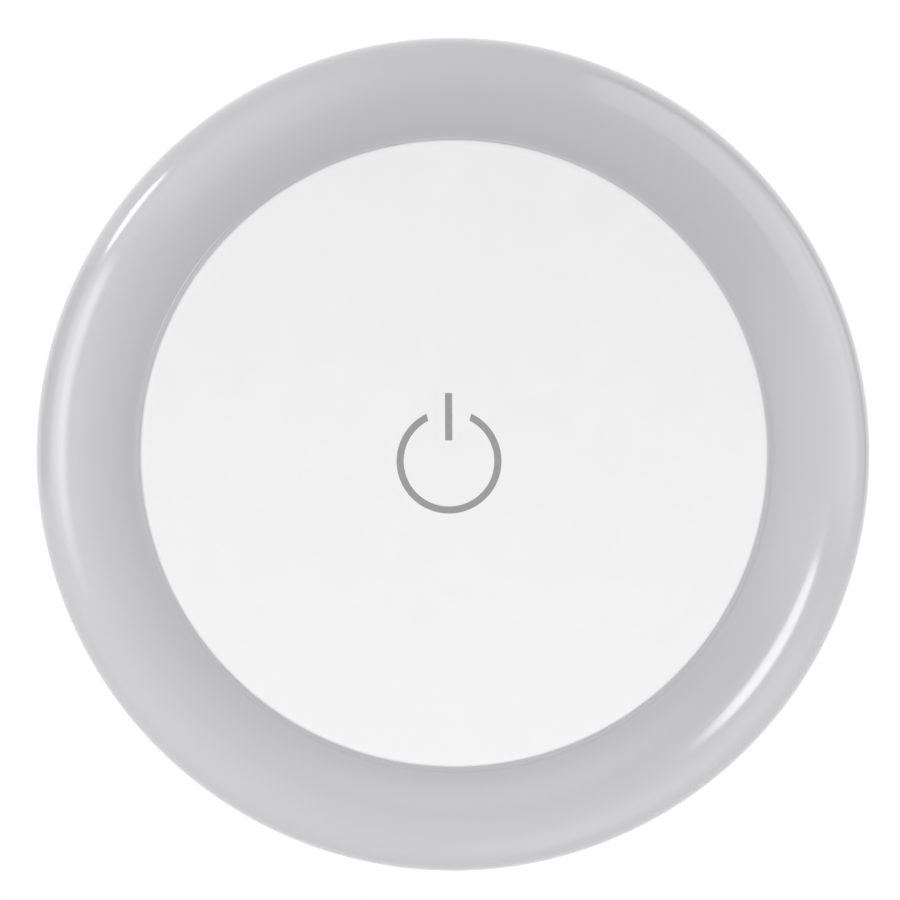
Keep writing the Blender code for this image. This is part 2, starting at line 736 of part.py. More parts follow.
def make_pin(side, name):
    """A round plug pin: rounded tip, thinner neck, collar behind the end wall, riveted stub."""
    collar_y = -PLUG_END_WALL - SEAT_GAP
    stub_y = collar_y - PIN_COLLAR_LENGTH
    rivet_y = STRIP_FOOT_Y - STRIP_THICKNESS - SEAT_GAP
    tip_centre = (PIN_RADIUS - PIN_TIP_ROUND, PIN_LENGTH - PIN_TIP_ROUND)
    profile = [(0.0, PIN_LENGTH)]
    profile += reversed(quarter(tip_centre, PIN_TIP_ROUND, PIN_TIP_ROUND, CORNER_STEPS))
    profile += [
        (PIN_RADIUS, SLEEVE_LENGTH + SEAT_GAP),
        (PIN_NECK_RADIUS, SLEEVE_LENGTH + SEAT_GAP),
        (PIN_NECK_RADIUS, collar_y),
        (PIN_COLLAR_RADIUS, collar_y),
        (PIN_COLLAR_RADIUS, stub_y),
        (PIN_STUB_RADIUS, stub_y),
        (PIN_STUB_RADIUS, rivet_y),
        (RIVET_HEAD_RADIUS, rivet_y),
        (RIVET_HEAD_RADIUS, rivet_y - RIVET_HEAD_LENGTH),
        (0.0, rivet_y - RIVET_HEAD_LENGTH),
    ]
    x = side * PIN_SPACING / 2
    node(f"plug_pin_{name}", turned("pin", profile, steps=ROD_STEPS, x=x), "pin_nickel")
    sleeve = [
        (SLEEVE_RADIUS, SLEEVE_LENGTH),
        (SLEEVE_RADIUS, -PLUG_END_WALL),
        (SLEEVE_BORE, -PLUG_END_WALL),
        (SLEEVE_BORE, SLEEVE_LENGTH),
    ]
    sleeve_piece = turned("sleeve", sleeve, closed=True, steps=ROD_STEPS, x=x)
    node(f"pin_sleeve_{name}", sleeve_piece, "sleeve_grey")


def make_contact_strip(side, name):
    """A brass strip riveted to a pin's stub, bent up to the power board."""
    inner_x = PIN_SPACING / 2 - STRIP_FOOT_INNER
    outer_x = STRIP_LEG_X + STRIP_THICKNESS
    tail_y = BOARD_FRONT_Y - STRIP_TAIL
    foot_front_y = STRIP_FOOT_Y - STRIP_THICKNESS
    points = [
        (inner_x, foot_front_y),
        (STRIP_LEG_X, foot_front_y),
        (STRIP_LEG_X, tail_y),
        (outer_x, tail_y),
        (outer_x, STRIP_FOOT_Y),
        (inner_x, STRIP_FOOT_Y),
    ]
    strip = plate("strip", [[(side * u, v) for u, v in points]], STRIP_WIDTH)
    node(f"contact_strip_{name}", strip, "strip_brass")
    hole = rod(
        "rivet_hole",
        PIN_STUB_RADIUS + EDGE_GAP,
        foot_front_y - CUT_OVERRUN,
        STRIP_FOOT_Y + CUT_OVERRUN,
        side * PIN_SPACING / 2,
    )
    combine(strip, "DIFFERENCE", [hole])


def make_inner_frame():
    """The carrier plate: stem guide, stop ring for the skirt, seat and lip for the LED board."""
    bore = STEM_RADIUS + GUIDE_CLEARANCE
    guide = bore + GUIDE_WALL
    guide_y = FRAME_FRONT_Y - GUIDE_HEIGHT
    stop_inner = STOP_RADIUS - STOP_WALL
    lip_inner = FRAME_RADIUS - LIP_WALL
    lip_y = FRAME_FRONT_Y - LIP_HEIGHT
    skirting_y = FRAME_BACK_Y + SKIRTING_HEIGHT
    profile = [
        (bore, FRAME_BACK_Y),
        (lip_inner, FRAME_BACK_Y),
        (lip_inner, skirting_y),
        (FRAME_RADIUS, skirting_y),
        (FRAME_RADIUS, lip_y),
        (lip_inner, lip_y),
        (lip_inner, FRAME_FRONT_Y),
        (STOP_RADIUS, FRAME_FRONT_Y),
        (STOP_RADIUS, STOP_Y),
        (stop_inner, STOP_Y),
        (stop_inner, FRAME_FRONT_Y),
        (guide, FRAME_FRONT_Y),
        (guide, guide_y),
        (bore, guide_y),
    ]
    frame = node("inner_frame", turned("inner_frame", profile, closed=True), "frame_white")
    front_y, back_y = FRAME_FRONT_Y - CUT_OVERRUN, FRAME_BACK_Y + CUT_OVERRUN
    cuts = [rod("screw_hole", SCREW_HOLE_RADIUS, front_y, back_y, x, z) for _, x, z in posts()]
    slot_inner = HOOK_INNER - HOOK_SLOT_INSIDE
    slot_outer = HOOK_OUTER + HOOK_SLOT_OUTSIDE
    slot_size = (slot_outer - slot_inner, back_y - front_y, HOOK_WIDTH + 2 * HOOK_SLOT_OUTSIDE)
    for angle, x, z in around(HOOK_COUNT, HOOK_FIRST_ANGLE, (slot_inner + slot_outer) / 2):
        slot = block("hook_slot", slot_size, (x, (front_y + back_y) / 2, z))
        slot.rotation_euler.y = -angle
        cuts.append(slot)
    cuts.append(rod("lead_hole", LEAD_HOLE_RADIUS, front_y, back_y, FRAME_RADIUS - LEAD_HOLE_INSET))
    combine(frame, "DIFFERENCE", cuts)


def make_led_board():
    """The ring-shaped board and its evenly spaced LEDs."""
    profile = [
        (LED_BOARD_OUTER, LED_BOARD_BACK_Y),
        (LED_BOARD_OUTER, LED_BOARD_FRONT_Y),
        (LED_BOARD_INNER, LED_BOARD_FRONT_Y),
        (LED_BOARD_INNER, LED_BOARD_BACK_Y),
    ]
    node("led_board", turned("led_board", profile, closed=True), "board_white")
    led_back_y = LED_BOARD_FRONT_Y - SOLDER_GAP
    led_front_y = led_back_y - LED_HEIGHT
    for number, (angle, x, z) in enumerate(around(LED_COUNT, LED_FIRST_ANGLE, LED_RING_RADIUS), 1):
        size = (LED_WIDTH, LED_HEIGHT, LED_LENGTH)
        led = block(f"led_{number}", size, (x, led_back_y - LED_HEIGHT / 2, z))
        led.rotation_euler.y = -angle
        node(f"led_{number}", led, "led_yellow")
        window = rod(
            "window",
            LED_WINDOW_RADIUS,
            led_front_y - CUT_OVERRUN,
            led_front_y + LED_WINDOW_DEPTH,
            x,
            z,
            ROD_STEPS // 2,
        )
        combine(led, "DIFFERENCE", [window])


def make_power_board():
    """The round mains board, notched for the posts, slotted for the strips, drilled for the screws."""
    disc = rod("disc", BOARD_RADIUS, BOARD_FRONT_Y, BOARD_BACK_Y, steps=RING_STEPS)
    board = node("power_board", disc, "board_green")
    front_y, back_y = BOARD_FRONT_Y - CUT_OVERRUN, BOARD_BACK_Y + CUT_OVERRUN
    notch = POST_RADIUS + NOTCH_CLEARANCE
    cuts = [rod("notch", notch, front_y, back_y, x, z) for _, x, z in posts()]
    slot_size = (
        STRIP_THICKNESS + 2 * BOARD_PLAY,
        back_y - front_y,
        STRIP_WIDTH + 2 * BOARD_PLAY,
    )
    slot_x = STRIP_LEG_X + STRIP_THICKNESS / 2
    for side in (-1, 1):
        cuts.append(rod("screw_hole", SCREW_HOLE_RADIUS, front_y, back_y, side * BOARD_SCREW_X))
        cuts.append(block("slot", slot_size, (side * slot_x, (front_y + back_y) / 2, 0.0)))
    combine(board, "DIFFERENCE", cuts)


def make_board_parts():
    """The capacitors, rectifier and varistor."""
    film_y = BOARD_BACK_Y + SOLDER_GAP + FILM_CAPACITOR_SIZE[1] / 2
    film = block("film", FILM_CAPACITOR_SIZE, (0.0, film_y, 0.0))
    node("film_capacitor", film, "capacitor_yellow")
    add_bevel(film, SMALL_BEVEL)
    x, z = RECTIFIER_PLACE
    bridge = block("bridge", RECTIFIER_SIZE, (x, PART_BASE_Y - RECTIFIER_SIZE[1] / 2, z))
    node("bridge_rectifier", bridge, "chip_black")
    add_bevel(bridge, SMALL_BEVEL)
    front_y = PART_BASE_Y - VARISTOR_THICKNESS
    disc = rod("disc", VARISTOR_RADIUS, front_y, PART_BASE_Y, z=VARISTOR_Z)
    node("varistor", disc, "varistor_blue")
    add_bevel(disc, SMALL_BEVEL)
    make_electrolytic()


def make_electrolytic():
    """A can lying on its side, with the groove near its sealed end."""
    half = ELECTROLYTIC_LENGTH / 2
    groove = ELECTROLYTIC_RADIUS - ELECTROLYTIC_GROOVE
    groove_y = half - ELECTROLYTIC_SEAL_LENGTH
    profile = [
        (0.0, half),
        (groove, half),
        (ELECTROLYTIC_RADIUS, half - ELECTROLYTIC_GROOVE),
        (ELECTROLYTIC_RADIUS, groove_y + ELECTROLYTIC_GROOVE),
        (groove, groove_y),
        (ELECTROLYTIC_RADIUS, groove_y - ELECTROLYTIC_GROOVE),
        (ELECTROLYTIC_RADIUS, ELECTROLYTIC_GROOVE - half),
        (groove, -half),
        (0.0, -half),
    ]
    x, z = ELECTROLYTIC_PLACE
    can = turned("can", profile, steps=ROD_STEPS)
    can.location = (x, PART_BASE_Y - ELECTROLYTIC_RADIUS, z)
    can.rotation_euler.z = math.radians(90)
    node("electrolytic_capacitor", can, "capacitor_black")


def make_resistor(name, size, place, finish):
    """A resistor lying on its side, wider at its end caps, on bent leads."""
    radius, length = size
    waist = radius - RESISTOR_WAIST
    half = length / 2
    shoulder = half - RESISTOR_CAP_LENGTH
    profile = [
        (0.0, half),
        (waist, half),
        (radius, half - RESISTOR_WAIST),
        (radius, shoulder),
        (waist, shoulder - RESISTOR_WAIST),
        (waist, RESISTOR_WAIST - shoulder),
        (radius, -shoulder),
        (radius, RESISTOR_WAIST - half),
        (waist, -half),
        (0.0, -half),
    ]
    x, z = place
    axis_y = PART_BASE_Y - SOLDER_GAP - radius
    body = turned(name, profile, steps=ROD_STEPS // 2)
    body.location = (x, axis_y, z)
    body.rotation_euler.z = math.radians(90)
    node(name, body, finish)
    reach = half + COMPONENT_LEAD_OUTSET
    route = [(-reach, PART_BASE_Y), (-reach, axis_y), (reach, axis_y), (reach, PART_BASE_Y)]
    lead = wire("lead", [(x + u, y, z) for u, y in route], COMPONENT_LEAD_RADIUS)
    combine(body, "UNION", [meshed(lead)])


def make_switch():
    """The push switch: open body, metal cover, plunger, coil spring and two terminals."""
    middle_y = (SWITCH_FRONT_Y + PART_BASE_Y) / 2
    body = block("body", (SWITCH_SIZE, SWITCH_HEIGHT, SWITCH_SIZE), (0.0, middle_y, 0.0))
    node("switch_body", body, "switch_black")
    combine(body, "DIFFERENCE", [rod("bore", SWITCH_BORE, SWITCH_FRONT_Y - CUT_OVERRUN, SWITCH_FLOOR_Y)])
    half = SWITCH_SIZE / 2
    square = [(half, half), (-half, half), (-half, -half), (half, -half)]
    cover = plate(
        "cover",
        [square, circle((0.0, 0.0), PLUNGER_RADIUS + PLUNGER_CLEARANCE)],
        COVER_THICKNESS,
        facing(COVER_FRONT_Y, COVER_BACK_Y),
    )
    node("switch_cover", cover, "screw_steel")
    plunger = [
        (0.0, PLUNGER_BASE_Y),
        (PLUNGER_FLANGE_RADIUS, PLUNGER_BASE_Y),
        (PLUNGER_FLANGE_RADIUS, PLUNGER_FLANGE_Y),
        (PLUNGER_RADIUS, PLUNGER_FLANGE_Y),
        (PLUNGER_RADIUS, PLUNGER_TIP_Y + SMALL_BEVEL),
        (PLUNGER_RADIUS - SMALL_BEVEL, PLUNGER_TIP_Y),
        (0.0, PLUNGER_TIP_Y),
    ]
    node("switch_plunger", turned("plunger", plunger, steps=ROD_STEPS), "plunger_white")
    make_spring()
    for side, name in ((-1, "left"), (1, "right")):
        make_terminal(side, name)


def make_spring():
    """The coil that returns the plunger, from the switch's floor to the plunger's flange."""
    front_y = PLUNGER_BASE_Y + SOLDER_GAP + SPRING_WIRE
    back_y = SWITCH_FLOOR_Y - SOLDER_GAP - SPRING_WIRE
    count = SPRING_TURNS * SPRING_POINTS
    points = []
    for i in range(count + 1):
        turn = math.radians(360) * i / SPRING_POINTS
        y = back_y + (front_y - back_y) * i / count
        points.append((SPRING_RADIUS * math.cos(turn), y, SPRING_RADIUS * math.sin(turn)))
    node("switch_spring", wire("spring", points, SPRING_WIRE), "screw_steel")


def make_terminal(side, name):
    """A bent metal foot beside the switch, soldered to the board."""
    inner_x = SWITCH_SIZE / 2 + SOLDER_GAP
    outer_x = inner_x + TERMINAL_THICKNESS
    foot_x = inner_x + TERMINAL_FOOT
    points = [
        (inner_x, PART_BASE_Y),
        (inner_x, PART_BASE_Y - TERMINAL_RISE),
        (outer_x, PART_BASE_Y - TERMINAL_RISE),
        (outer_x, PART_BASE_Y - TERMINAL_THICKNESS),
        (foot_x, PART_BASE_Y - TERMINAL_THICKNESS),
        (foot_x, PART_BASE_Y),
    ]
    foot = plate("terminal", [[(side * u, v) for u, v in points]], TERMINAL_WIDTH)
    node(f"switch_terminal_{name}", foot, "strip_brass")


def make_screw(name, seat_y, length, x, z):
    """A small pan-head screw whose head sits on a face and whose point goes back into a post."""
    under_y = seat_y - SOLDER_GAP
    end_y = under_y + length
    top_y = under_y - SCREW_HEAD_HEIGHT
    profile = [
        (0.0, end_y),
        (SCREW_SHANK_RADIUS, end_y - SCREW_POINT),
        (SCREW_SHANK_RADIUS, under_y),
        (SCREW_HEAD_RADIUS, under_y),
        (SCREW_HEAD_RADIUS, top_y + SCREW_HEAD_CROWN),
        (SCREW_HEAD_RADIUS - SCREW_HEAD_CROWN, top_y),
        (0.0, top_y),
    ]
    screw = node(name, turned(name, profile, steps=ROD_STEPS, x=x, z=z), "screw_steel")
    depth = CROSS_DEPTH + CUT_OVERRUN
    centre = (x, top_y + CROSS_DEPTH - depth / 2, z)
    arms = [
        block("cross_arm", (CROSS_LENGTH, depth, CROSS_WIDTH), centre),
        block("cross_arm", (CROSS_WIDTH, depth, CROSS_LENGTH), centre),
    ]
    combine(screw, "DIFFERENCE", arms)


def make_screws():
    for number, (_, x, z) in enumerate(posts(), 1):
        length = FRAME_THICKNESS + SEAT_GAP + FRAME_SCREW_BITE
        make_screw(f"frame_screw_{number}", FRAME_FRONT_Y, length, x, z)
    length = BACK_Y - PILOT_FLOOR - SEAT_GAP - BOARD_FRONT_Y
    make_screw("board_screw_left", BOARD_FRONT_Y, length, -BOARD_SCREW_X, 0.0)
    make_screw("board_screw_right", BOARD_FRONT_Y, length, BOARD_SCREW_X, 0.0)


def make_led_lead(offset, name, finish):
    """A wire from the power board's front to the back of the LED board, through the frame's hole."""
    start_x, start_z = LEAD_START
    start_y = BOARD_FRONT_Y - SOLDER_GAP
    end_x = FRAME_RADIUS - LEAD_HOLE_INSET
    end_y = LED_BOARD_BACK_Y + SOLDER_GAP
    turn_y = FRAME_BACK_Y + LEAD_RISE
    points = [(start_x, start_y, start_z + offset)]
    for i in range(LEAD_POINTS + 1):
        share = i / LEAD_POINTS
        ease = share * share * (3 - 2 * share)
        x = start_x + (end_x - start_x) * ease
        y = start_y - LEAD_BOW + (turn_y - start_y + LEAD_BOW) * share
        z = start_z * (1 - ease) + offset
        points.append((x, y, z))
    points.append((end_x, end_y, offset))
    node(f"led_lead_{name}", wire("lead", points, LEAD_RADIUS), finish)


clear_scene()
PARTS = new_collection("plug_in_night_light", bpy.context.scene.collection)
TOOLS = new_collection("cutters", bpy.context.scene.collection)
MATERIALS = make_materials()

make_power_mark(make_push_plate())
make_diffuser()
make_rear_housing()
make_plug_insert()
for pin_side, pin_name in ((-1, "left"), (1, "right")):
    make_pin(pin_side, pin_name)
    make_contact_strip(pin_side, pin_name)
make_inner_frame()
make_led_board()
make_power_board()
make_board_parts()
make_resistor("fusible_resistor", FUSIBLE_SIZE, FUSIBLE_PLACE, "resistor_tan")
make_resistor("bleed_resistor", BLEED_SIZE, BLEED_PLACE, "resistor_blue")
make_switch()
make_screws()
make_led_lead(-LEAD_SPACING / 2, "red", "lead_red")
make_led_lead(LEAD_SPACING / 2, "black", "lead_black")
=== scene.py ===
"""A plug-in night light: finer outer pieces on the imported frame, finishes, stage and camera.

Metres, +Z up. The front faces -Y. Angles round the light are counted from +X towards +Z, as the
camera sees them. Places along Y are named ..._Y, and profiles are lists of (radius, y) points.
"""

import json
import math

import bmesh
import bpy
from mathutils import Matrix, Vector


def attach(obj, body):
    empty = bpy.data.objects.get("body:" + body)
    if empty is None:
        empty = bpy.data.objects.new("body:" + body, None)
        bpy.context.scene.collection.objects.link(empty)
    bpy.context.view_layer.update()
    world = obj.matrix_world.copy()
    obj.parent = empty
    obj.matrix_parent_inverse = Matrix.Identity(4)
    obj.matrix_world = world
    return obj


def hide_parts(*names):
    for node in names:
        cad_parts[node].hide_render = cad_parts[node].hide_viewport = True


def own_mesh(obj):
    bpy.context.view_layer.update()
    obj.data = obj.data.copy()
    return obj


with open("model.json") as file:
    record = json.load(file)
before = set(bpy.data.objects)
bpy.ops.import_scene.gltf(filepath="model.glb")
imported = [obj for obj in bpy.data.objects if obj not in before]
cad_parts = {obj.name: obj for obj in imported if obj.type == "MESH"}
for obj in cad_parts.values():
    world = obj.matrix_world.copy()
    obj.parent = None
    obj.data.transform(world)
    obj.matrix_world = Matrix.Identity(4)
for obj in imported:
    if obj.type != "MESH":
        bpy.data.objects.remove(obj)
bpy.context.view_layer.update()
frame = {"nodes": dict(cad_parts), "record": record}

# Sizes of the outer pieces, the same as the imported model's
BODY_RADIUS = 0.0400
FRONT_Y = -0.0440
BACK_Y = -0.0180
SEAT_GAP = 0.0003

# Push disc. Its chamfer is (width, depth) and stops DISC_CHAMFER_LEFT short of the flat face. The
# face starts at the first of DISC_FLAT_STARTS, and the second ends a border that keeps the shading
# flat. Both are counted in chamfer widths from the rim.
DISC_RADIUS = 0.029946
DISC_BACK_Y = -0.0422
DISC_EDGE = 0.00004
DISC_EDGE_END = -80
DISC_CHAMFER = (0.00044, 0.00006)
DISC_CHAMFER_LEFT = 0.000008
DISC_FLAT_STARTS = (1.15, 3)
SKIRT_INNER = 0.02855
SKIRT_END_Y = -0.0388
STEM_RADIUS = 0.0030
STEM_END_Y = -0.0362
STEM_EDGE = 0.0004
RIB_COUNT = 6
RIB_SIZE = (0.0258, 0.0019, 0.0010)
RIB_OVERLAP = 0.0002
HOOK_PLACES = (30, 150, 270)
HOOK_INNER = 0.02285
HOOK_OUTER = 0.02435
HOOK_BARB = 0.0009
HOOK_SHOULDER_Y = -0.0337
HOOK_TIP_Y = -0.0322
HOOK_WIDTH = 0.0040

# Printed power symbol, seen from the front: x to the right and z up from the disc's middle. The
# bar is (width, length), and the ring's two edges end at slightly different angles.
SYMBOL_CENTRE = (-0.00045, -0.00073)
SYMBOL_OUTER = 0.00500
SYMBOL_INNER = 0.00433
SYMBOL_OUTER_END = 64.7
SYMBOL_INNER_END = 63.0
SYMBOL_BAR = (0.00067, 0.00452)
SYMBOL_BAR_CENTRE = (-0.00002, 0.00424)
SYMBOL_TILT = math.radians(0.25)
PRINT_THICKNESS = 0.00002

# Milky ring. The lip at its hole goes down in two steps, which start at RING_LIP_STARTS from the
# hole. The dome is a superellipse.
RING_HOLE = 0.02995
RING_LIP_STARTS = (0.00050, 0.00020)
RING_LIP_WIDTH = 0.00008
RING_LIP_DROP = 0.00004
RING_EDGE = 0.00004
RING_FRONT_Y = -0.0439
DOME_CENTRE_Y = -0.0357
DOME_POWER = 2.15
RING_WALL = 0.0016
RING_BACK_Y = -0.0290
RING_BACK_EDGE = 0.0002
RING_DRAFT = 0.0004
COLLAR_WALL = 0.0012
COLLAR_END_Y = -0.0372
SPIGOT_OUTER = 0.0375
SPIGOT_INNER = 0.0365
SPIGOT_END_Y = -0.0265
SNAP_BEAD_RADIUS = 0.0381
SNAP_BEAD_Y = -0.0276
SNAP_BEAD_HALF = 0.0003

# Rear housing. BACK_BORDER is a border of its flat back that keeps the shading flat.
RIM_RADIUS = 0.0396
RIM_Y = -0.0287
RIM_EDGE = 0.00025
HOUSING_CORNER = 0.0082
HOUSING_WALL = 0.0018
BACK_BORDER = 0.0010
FLOOR_Y = -0.0198
POST_PLACES = (90, 210, 330)
POST_CIRCLE = 0.02495
POST_RADIUS = 0.0030
POST_TOP_Y = -0.0337
PILOT_RADIUS = 0.0013
POST_PILOT_END_Y = -0.0247
BOSS_X = 0.02075
BOSS_RADIUS = 0.0027
BOSS_TOP_Y = -0.0233
BOSS_PILOT_END_Y = -0.0186
REST_Z = 0.0190
REST_RADIUS = 0.0020
REST_TOP_Y = -0.0252

# Plug block. It starts PLUG_SINK behind the front of its flange.
PLUG_WIDTH = 0.0353
PLUG_HEIGHT = 0.0137
PLUG_CUT = 0.0046
PLUG_WALL = 0.0018
PLUG_END_WALL = 0.0040
PLUG_EDGE = 0.0007
PLUG_SINK = 0.0002
FLANGE_SIZE = (0.0473, 0.0171)
FLANGE_CORNER = 0.0040
FLANGE_FRONT_Y = -0.0252
FLANGE_BACK_Y = -0.0236
SCREW_HOLE_RADIUS = 0.0015
POST_NOTCH = 0.0005

# Pins and their sleeves. RIVET_EDGE is (across, along).
PIN_X = 0.0095
PIN_RADIUS = 0.0020
PIN_LENGTH = 0.0190
PIN_TIP_ROUND = 0.0017
PIN_SHOULDER_EDGE = 0.00015
PIN_NECK_RADIUS = 0.00145
SLEEVE_RADIUS = 0.0019
SLEEVE_BORE = 0.0016
SLEEVE_LENGTH = 0.0100
SLEEVE_EDGE = 0.0002
SLEEVE_GAP = SEAT_GAP / 3
PIN_COLLAR_RADIUS = 0.0028
PIN_COLLAR_EDGE = 0.0002
PIN_COLLAR_Y = (-0.0043, -0.0058)
PIN_STUB_RADIUS = 0.00115
RIVET_RADIUS = 0.0017
RIVET_EDGE = (0.0006, 0.0002)
RIVET_Y = (-0.0070, -0.0075)

# Switch spring. SPRING_FLAT is the share of its length of wire that lies flat at each end.
SPRING_RADIUS = 0.0019
SPRING_WIRE = 0.00016
SPRING_Y = (-0.03129, -0.02811)
SPRING_TURNS = 4
SPRING_FLAT = 0.125

# Mesh fineness
RING_STEPS = 288
ROD_STEPS = 48
SYMBOL_STEPS = 120
DISC_EDGE_STEPS = 6
DOME_STEPS = (72, 24)
LIP_STEPS = 8
RING_EDGE_STEPS = 8
CORNER_STEPS = (28, 12)
SMALL_EDGE_STEPS = 5
FLANGE_STEPS = 10
PIN_TIP_STEPS = 16
SPRING_STEPS = 32
SPRING_SIDES = 10

# How far joined shapes run into each other, how far cuts run past what they cut, what counts as a
# point on the axis or on the plug's end face, a round bevel, and the angle that stays a sharp edge
ROOT_OVERLAP = 0.0004
CUT_OVERRUN = 0.0005
ON_AXIS = 1e-7
ON_END = 1e-6
ROUND_BEVEL = 0.5
SHARP = math.radians(32)


def new_object(name, mesh):
    obj = bpy.data.objects.new(name, mesh)
    bpy.context.scene.collection.objects.link(obj)
    return obj


def turn_into(build, profile, steps, x=0.0, z=0.0, closed=False):
    """Turn a profile about an axis along Y and add its skin to a mesh in the making."""
    angles = [math.tau * i / steps for i in range(steps)]
    rows = []
    for radius, y in profile:
        turns = angles if radius > ON_AXIS else [0.0]
        rows.append([
            build.verts.new((x + radius * math.cos(a), y, z + radius * math.sin(a))) for a in turns
        ])
    pairs = list(zip(rows, rows[1:]))
    if closed:
        pairs.append((rows[-1], rows[0]))
    for near, far in pairs:
        for i in range(steps):
            j = (i + 1) % steps
            corners = [
                near[i % len(near)], near[j % len(near)], far[j % len(far)], far[i % len(far)]
            ]
            build.faces.new(list(dict.fromkeys(corners)))


def block_into(build, size, centre, turn):
    """A block that is placed on the +X side and then turned about Y."""
    place = Matrix.Rotation(-turn, 4, "Y") @ Matrix.Translation(centre)
    bmesh.ops.create_cube(build, size=1.0, matrix=place @ Matrix.Diagonal((*size, 1.0)))


def prism_into(build, points, width, turn):
    """A flat outline of (radius, y) points in a plane through the Y axis, and a width across it."""
    place = Matrix.Rotation(-turn, 4, "Y")
    sides = [
        [build.verts.new(place @ Vector((radius, y, side * width / 2))) for radius, y in points]
        for side in (-1, 1)
    ]
    build.faces.new(sides[0])
    build.faces.new(sides[1][::-1])
    count = len(points)
    for i in range(count):
        j = (i + 1) % count
        build.faces.new([sides[0][j], sides[0][i], sides[1][i], sides[1][j]])


def raw_mesh(name, build):
    mesh = bpy.data.meshes.new(name)
    build.to_mesh(mesh)
    build.free()
    return mesh


def plain_object(name, build):
    """A closed shape, as a piece to carve or as a tool that carves one."""
    bmesh.ops.recalc_face_normals(build, faces=build.faces)
    return new_object(name, raw_mesh(name, build))


def smooth(mesh):
    mesh.shade_smooth()
    mesh.set_sharp_from_angle(angle=SHARP)


def smooth_object(name, build):
    obj = plain_object(name, build)
    smooth(obj.data)
    return obj


def rod_into(build, radius, front_y, back_y, x=0.0, z=0.0):
    profile = [(0.0, front_y), (radius, front_y), (radius, back_y), (0.0, back_y)]
    turn_into(build, profile, ROD_STEPS, x, z)


def slab_into(build, outline, front_y, back_y):
    """A flat slab between two places along Y, from (x, z) points of its outline."""
    front, back = [[build.verts.new((x, y, z)) for x, z in outline] for y in (front_y, back_y)]
    build.faces.new(front)
    build.faces.new(back[::-1])
    count = len(outline)
    for i in range(count):
        j = (i + 1) % count
        build.faces.new([front[j], front[i], back[i], back[j]])


def carve(obj, operation, *tools):
    """Cut a piece with tools, or join tools to it, and keep only the result as its mesh."""
    for tool in tools:
        change = obj.modifiers.new("carve", "BOOLEAN")
        change.operation = operation
        change.solver = "EXACT"
        change.object = tool
    graph = bpy.context.evaluated_depsgraph_get()
    mesh = bpy.data.meshes.new_from_object(obj.evaluated_get(graph))
    mesh.name = obj.name
    obj.modifiers.clear()
    obj.data = mesh
    for tool in tools:
        bpy.data.objects.remove(tool)
    smooth(mesh)


def plug_outline(border):
    """The plug block's long eight-sided outline, grown outwards by a border."""
    half_width = PLUG_WIDTH / 2 + border
    half_height = PLUG_HEIGHT / 2 + border
    cut = PLUG_CUT + border * (2 - math.sqrt(2))
    quadrant = [(half_width, half_height - cut), (half_width - cut, half_height)]
    upper = quadrant + [(-u, v) for u, v in reversed(quadrant)]
    return upper + [(-u, -v) for u, v in upper]


def even_shading(obj):
    """Keep big flat faces flat beside their rounded edges."""
    weighted = obj.modifiers.new("shading", "WEIGHTED_NORMAL")
    weighted.keep_sharp = True
    weighted.mode = "FACE_AREA_WITH_ANGLE"


def place_piece(obj, body, slot, *nodes):
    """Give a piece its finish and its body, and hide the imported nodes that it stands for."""
    obj.data.materials.clear()
    obj.data.materials.append(MATERIALS[slot])
    even_shading(obj)
    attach(obj, body)
    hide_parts(*nodes)


def arc(centre, radius, start, end, steps):
    """Points along part of a circle, between two angles in degrees."""
    angles = [math.radians(start + (end - start) * i / steps) for i in range(steps + 1)]
    return [(centre[0] + radius * math.cos(a), centre[1] + radius * math.sin(a)) for a in angles]


def dome(centre, across, along, steps):
    """The ring's rounded front, from its widest point to its top."""
    points = []
    for i in range(steps + 1):
        turn = math.radians(90) * i / steps
        points.append((
            centre[0] + across * math.cos(turn) ** (2 / DOME_POWER),
            centre[1] - along * math.sin(turn) ** (2 / DOME_POWER),
        ))
    return points


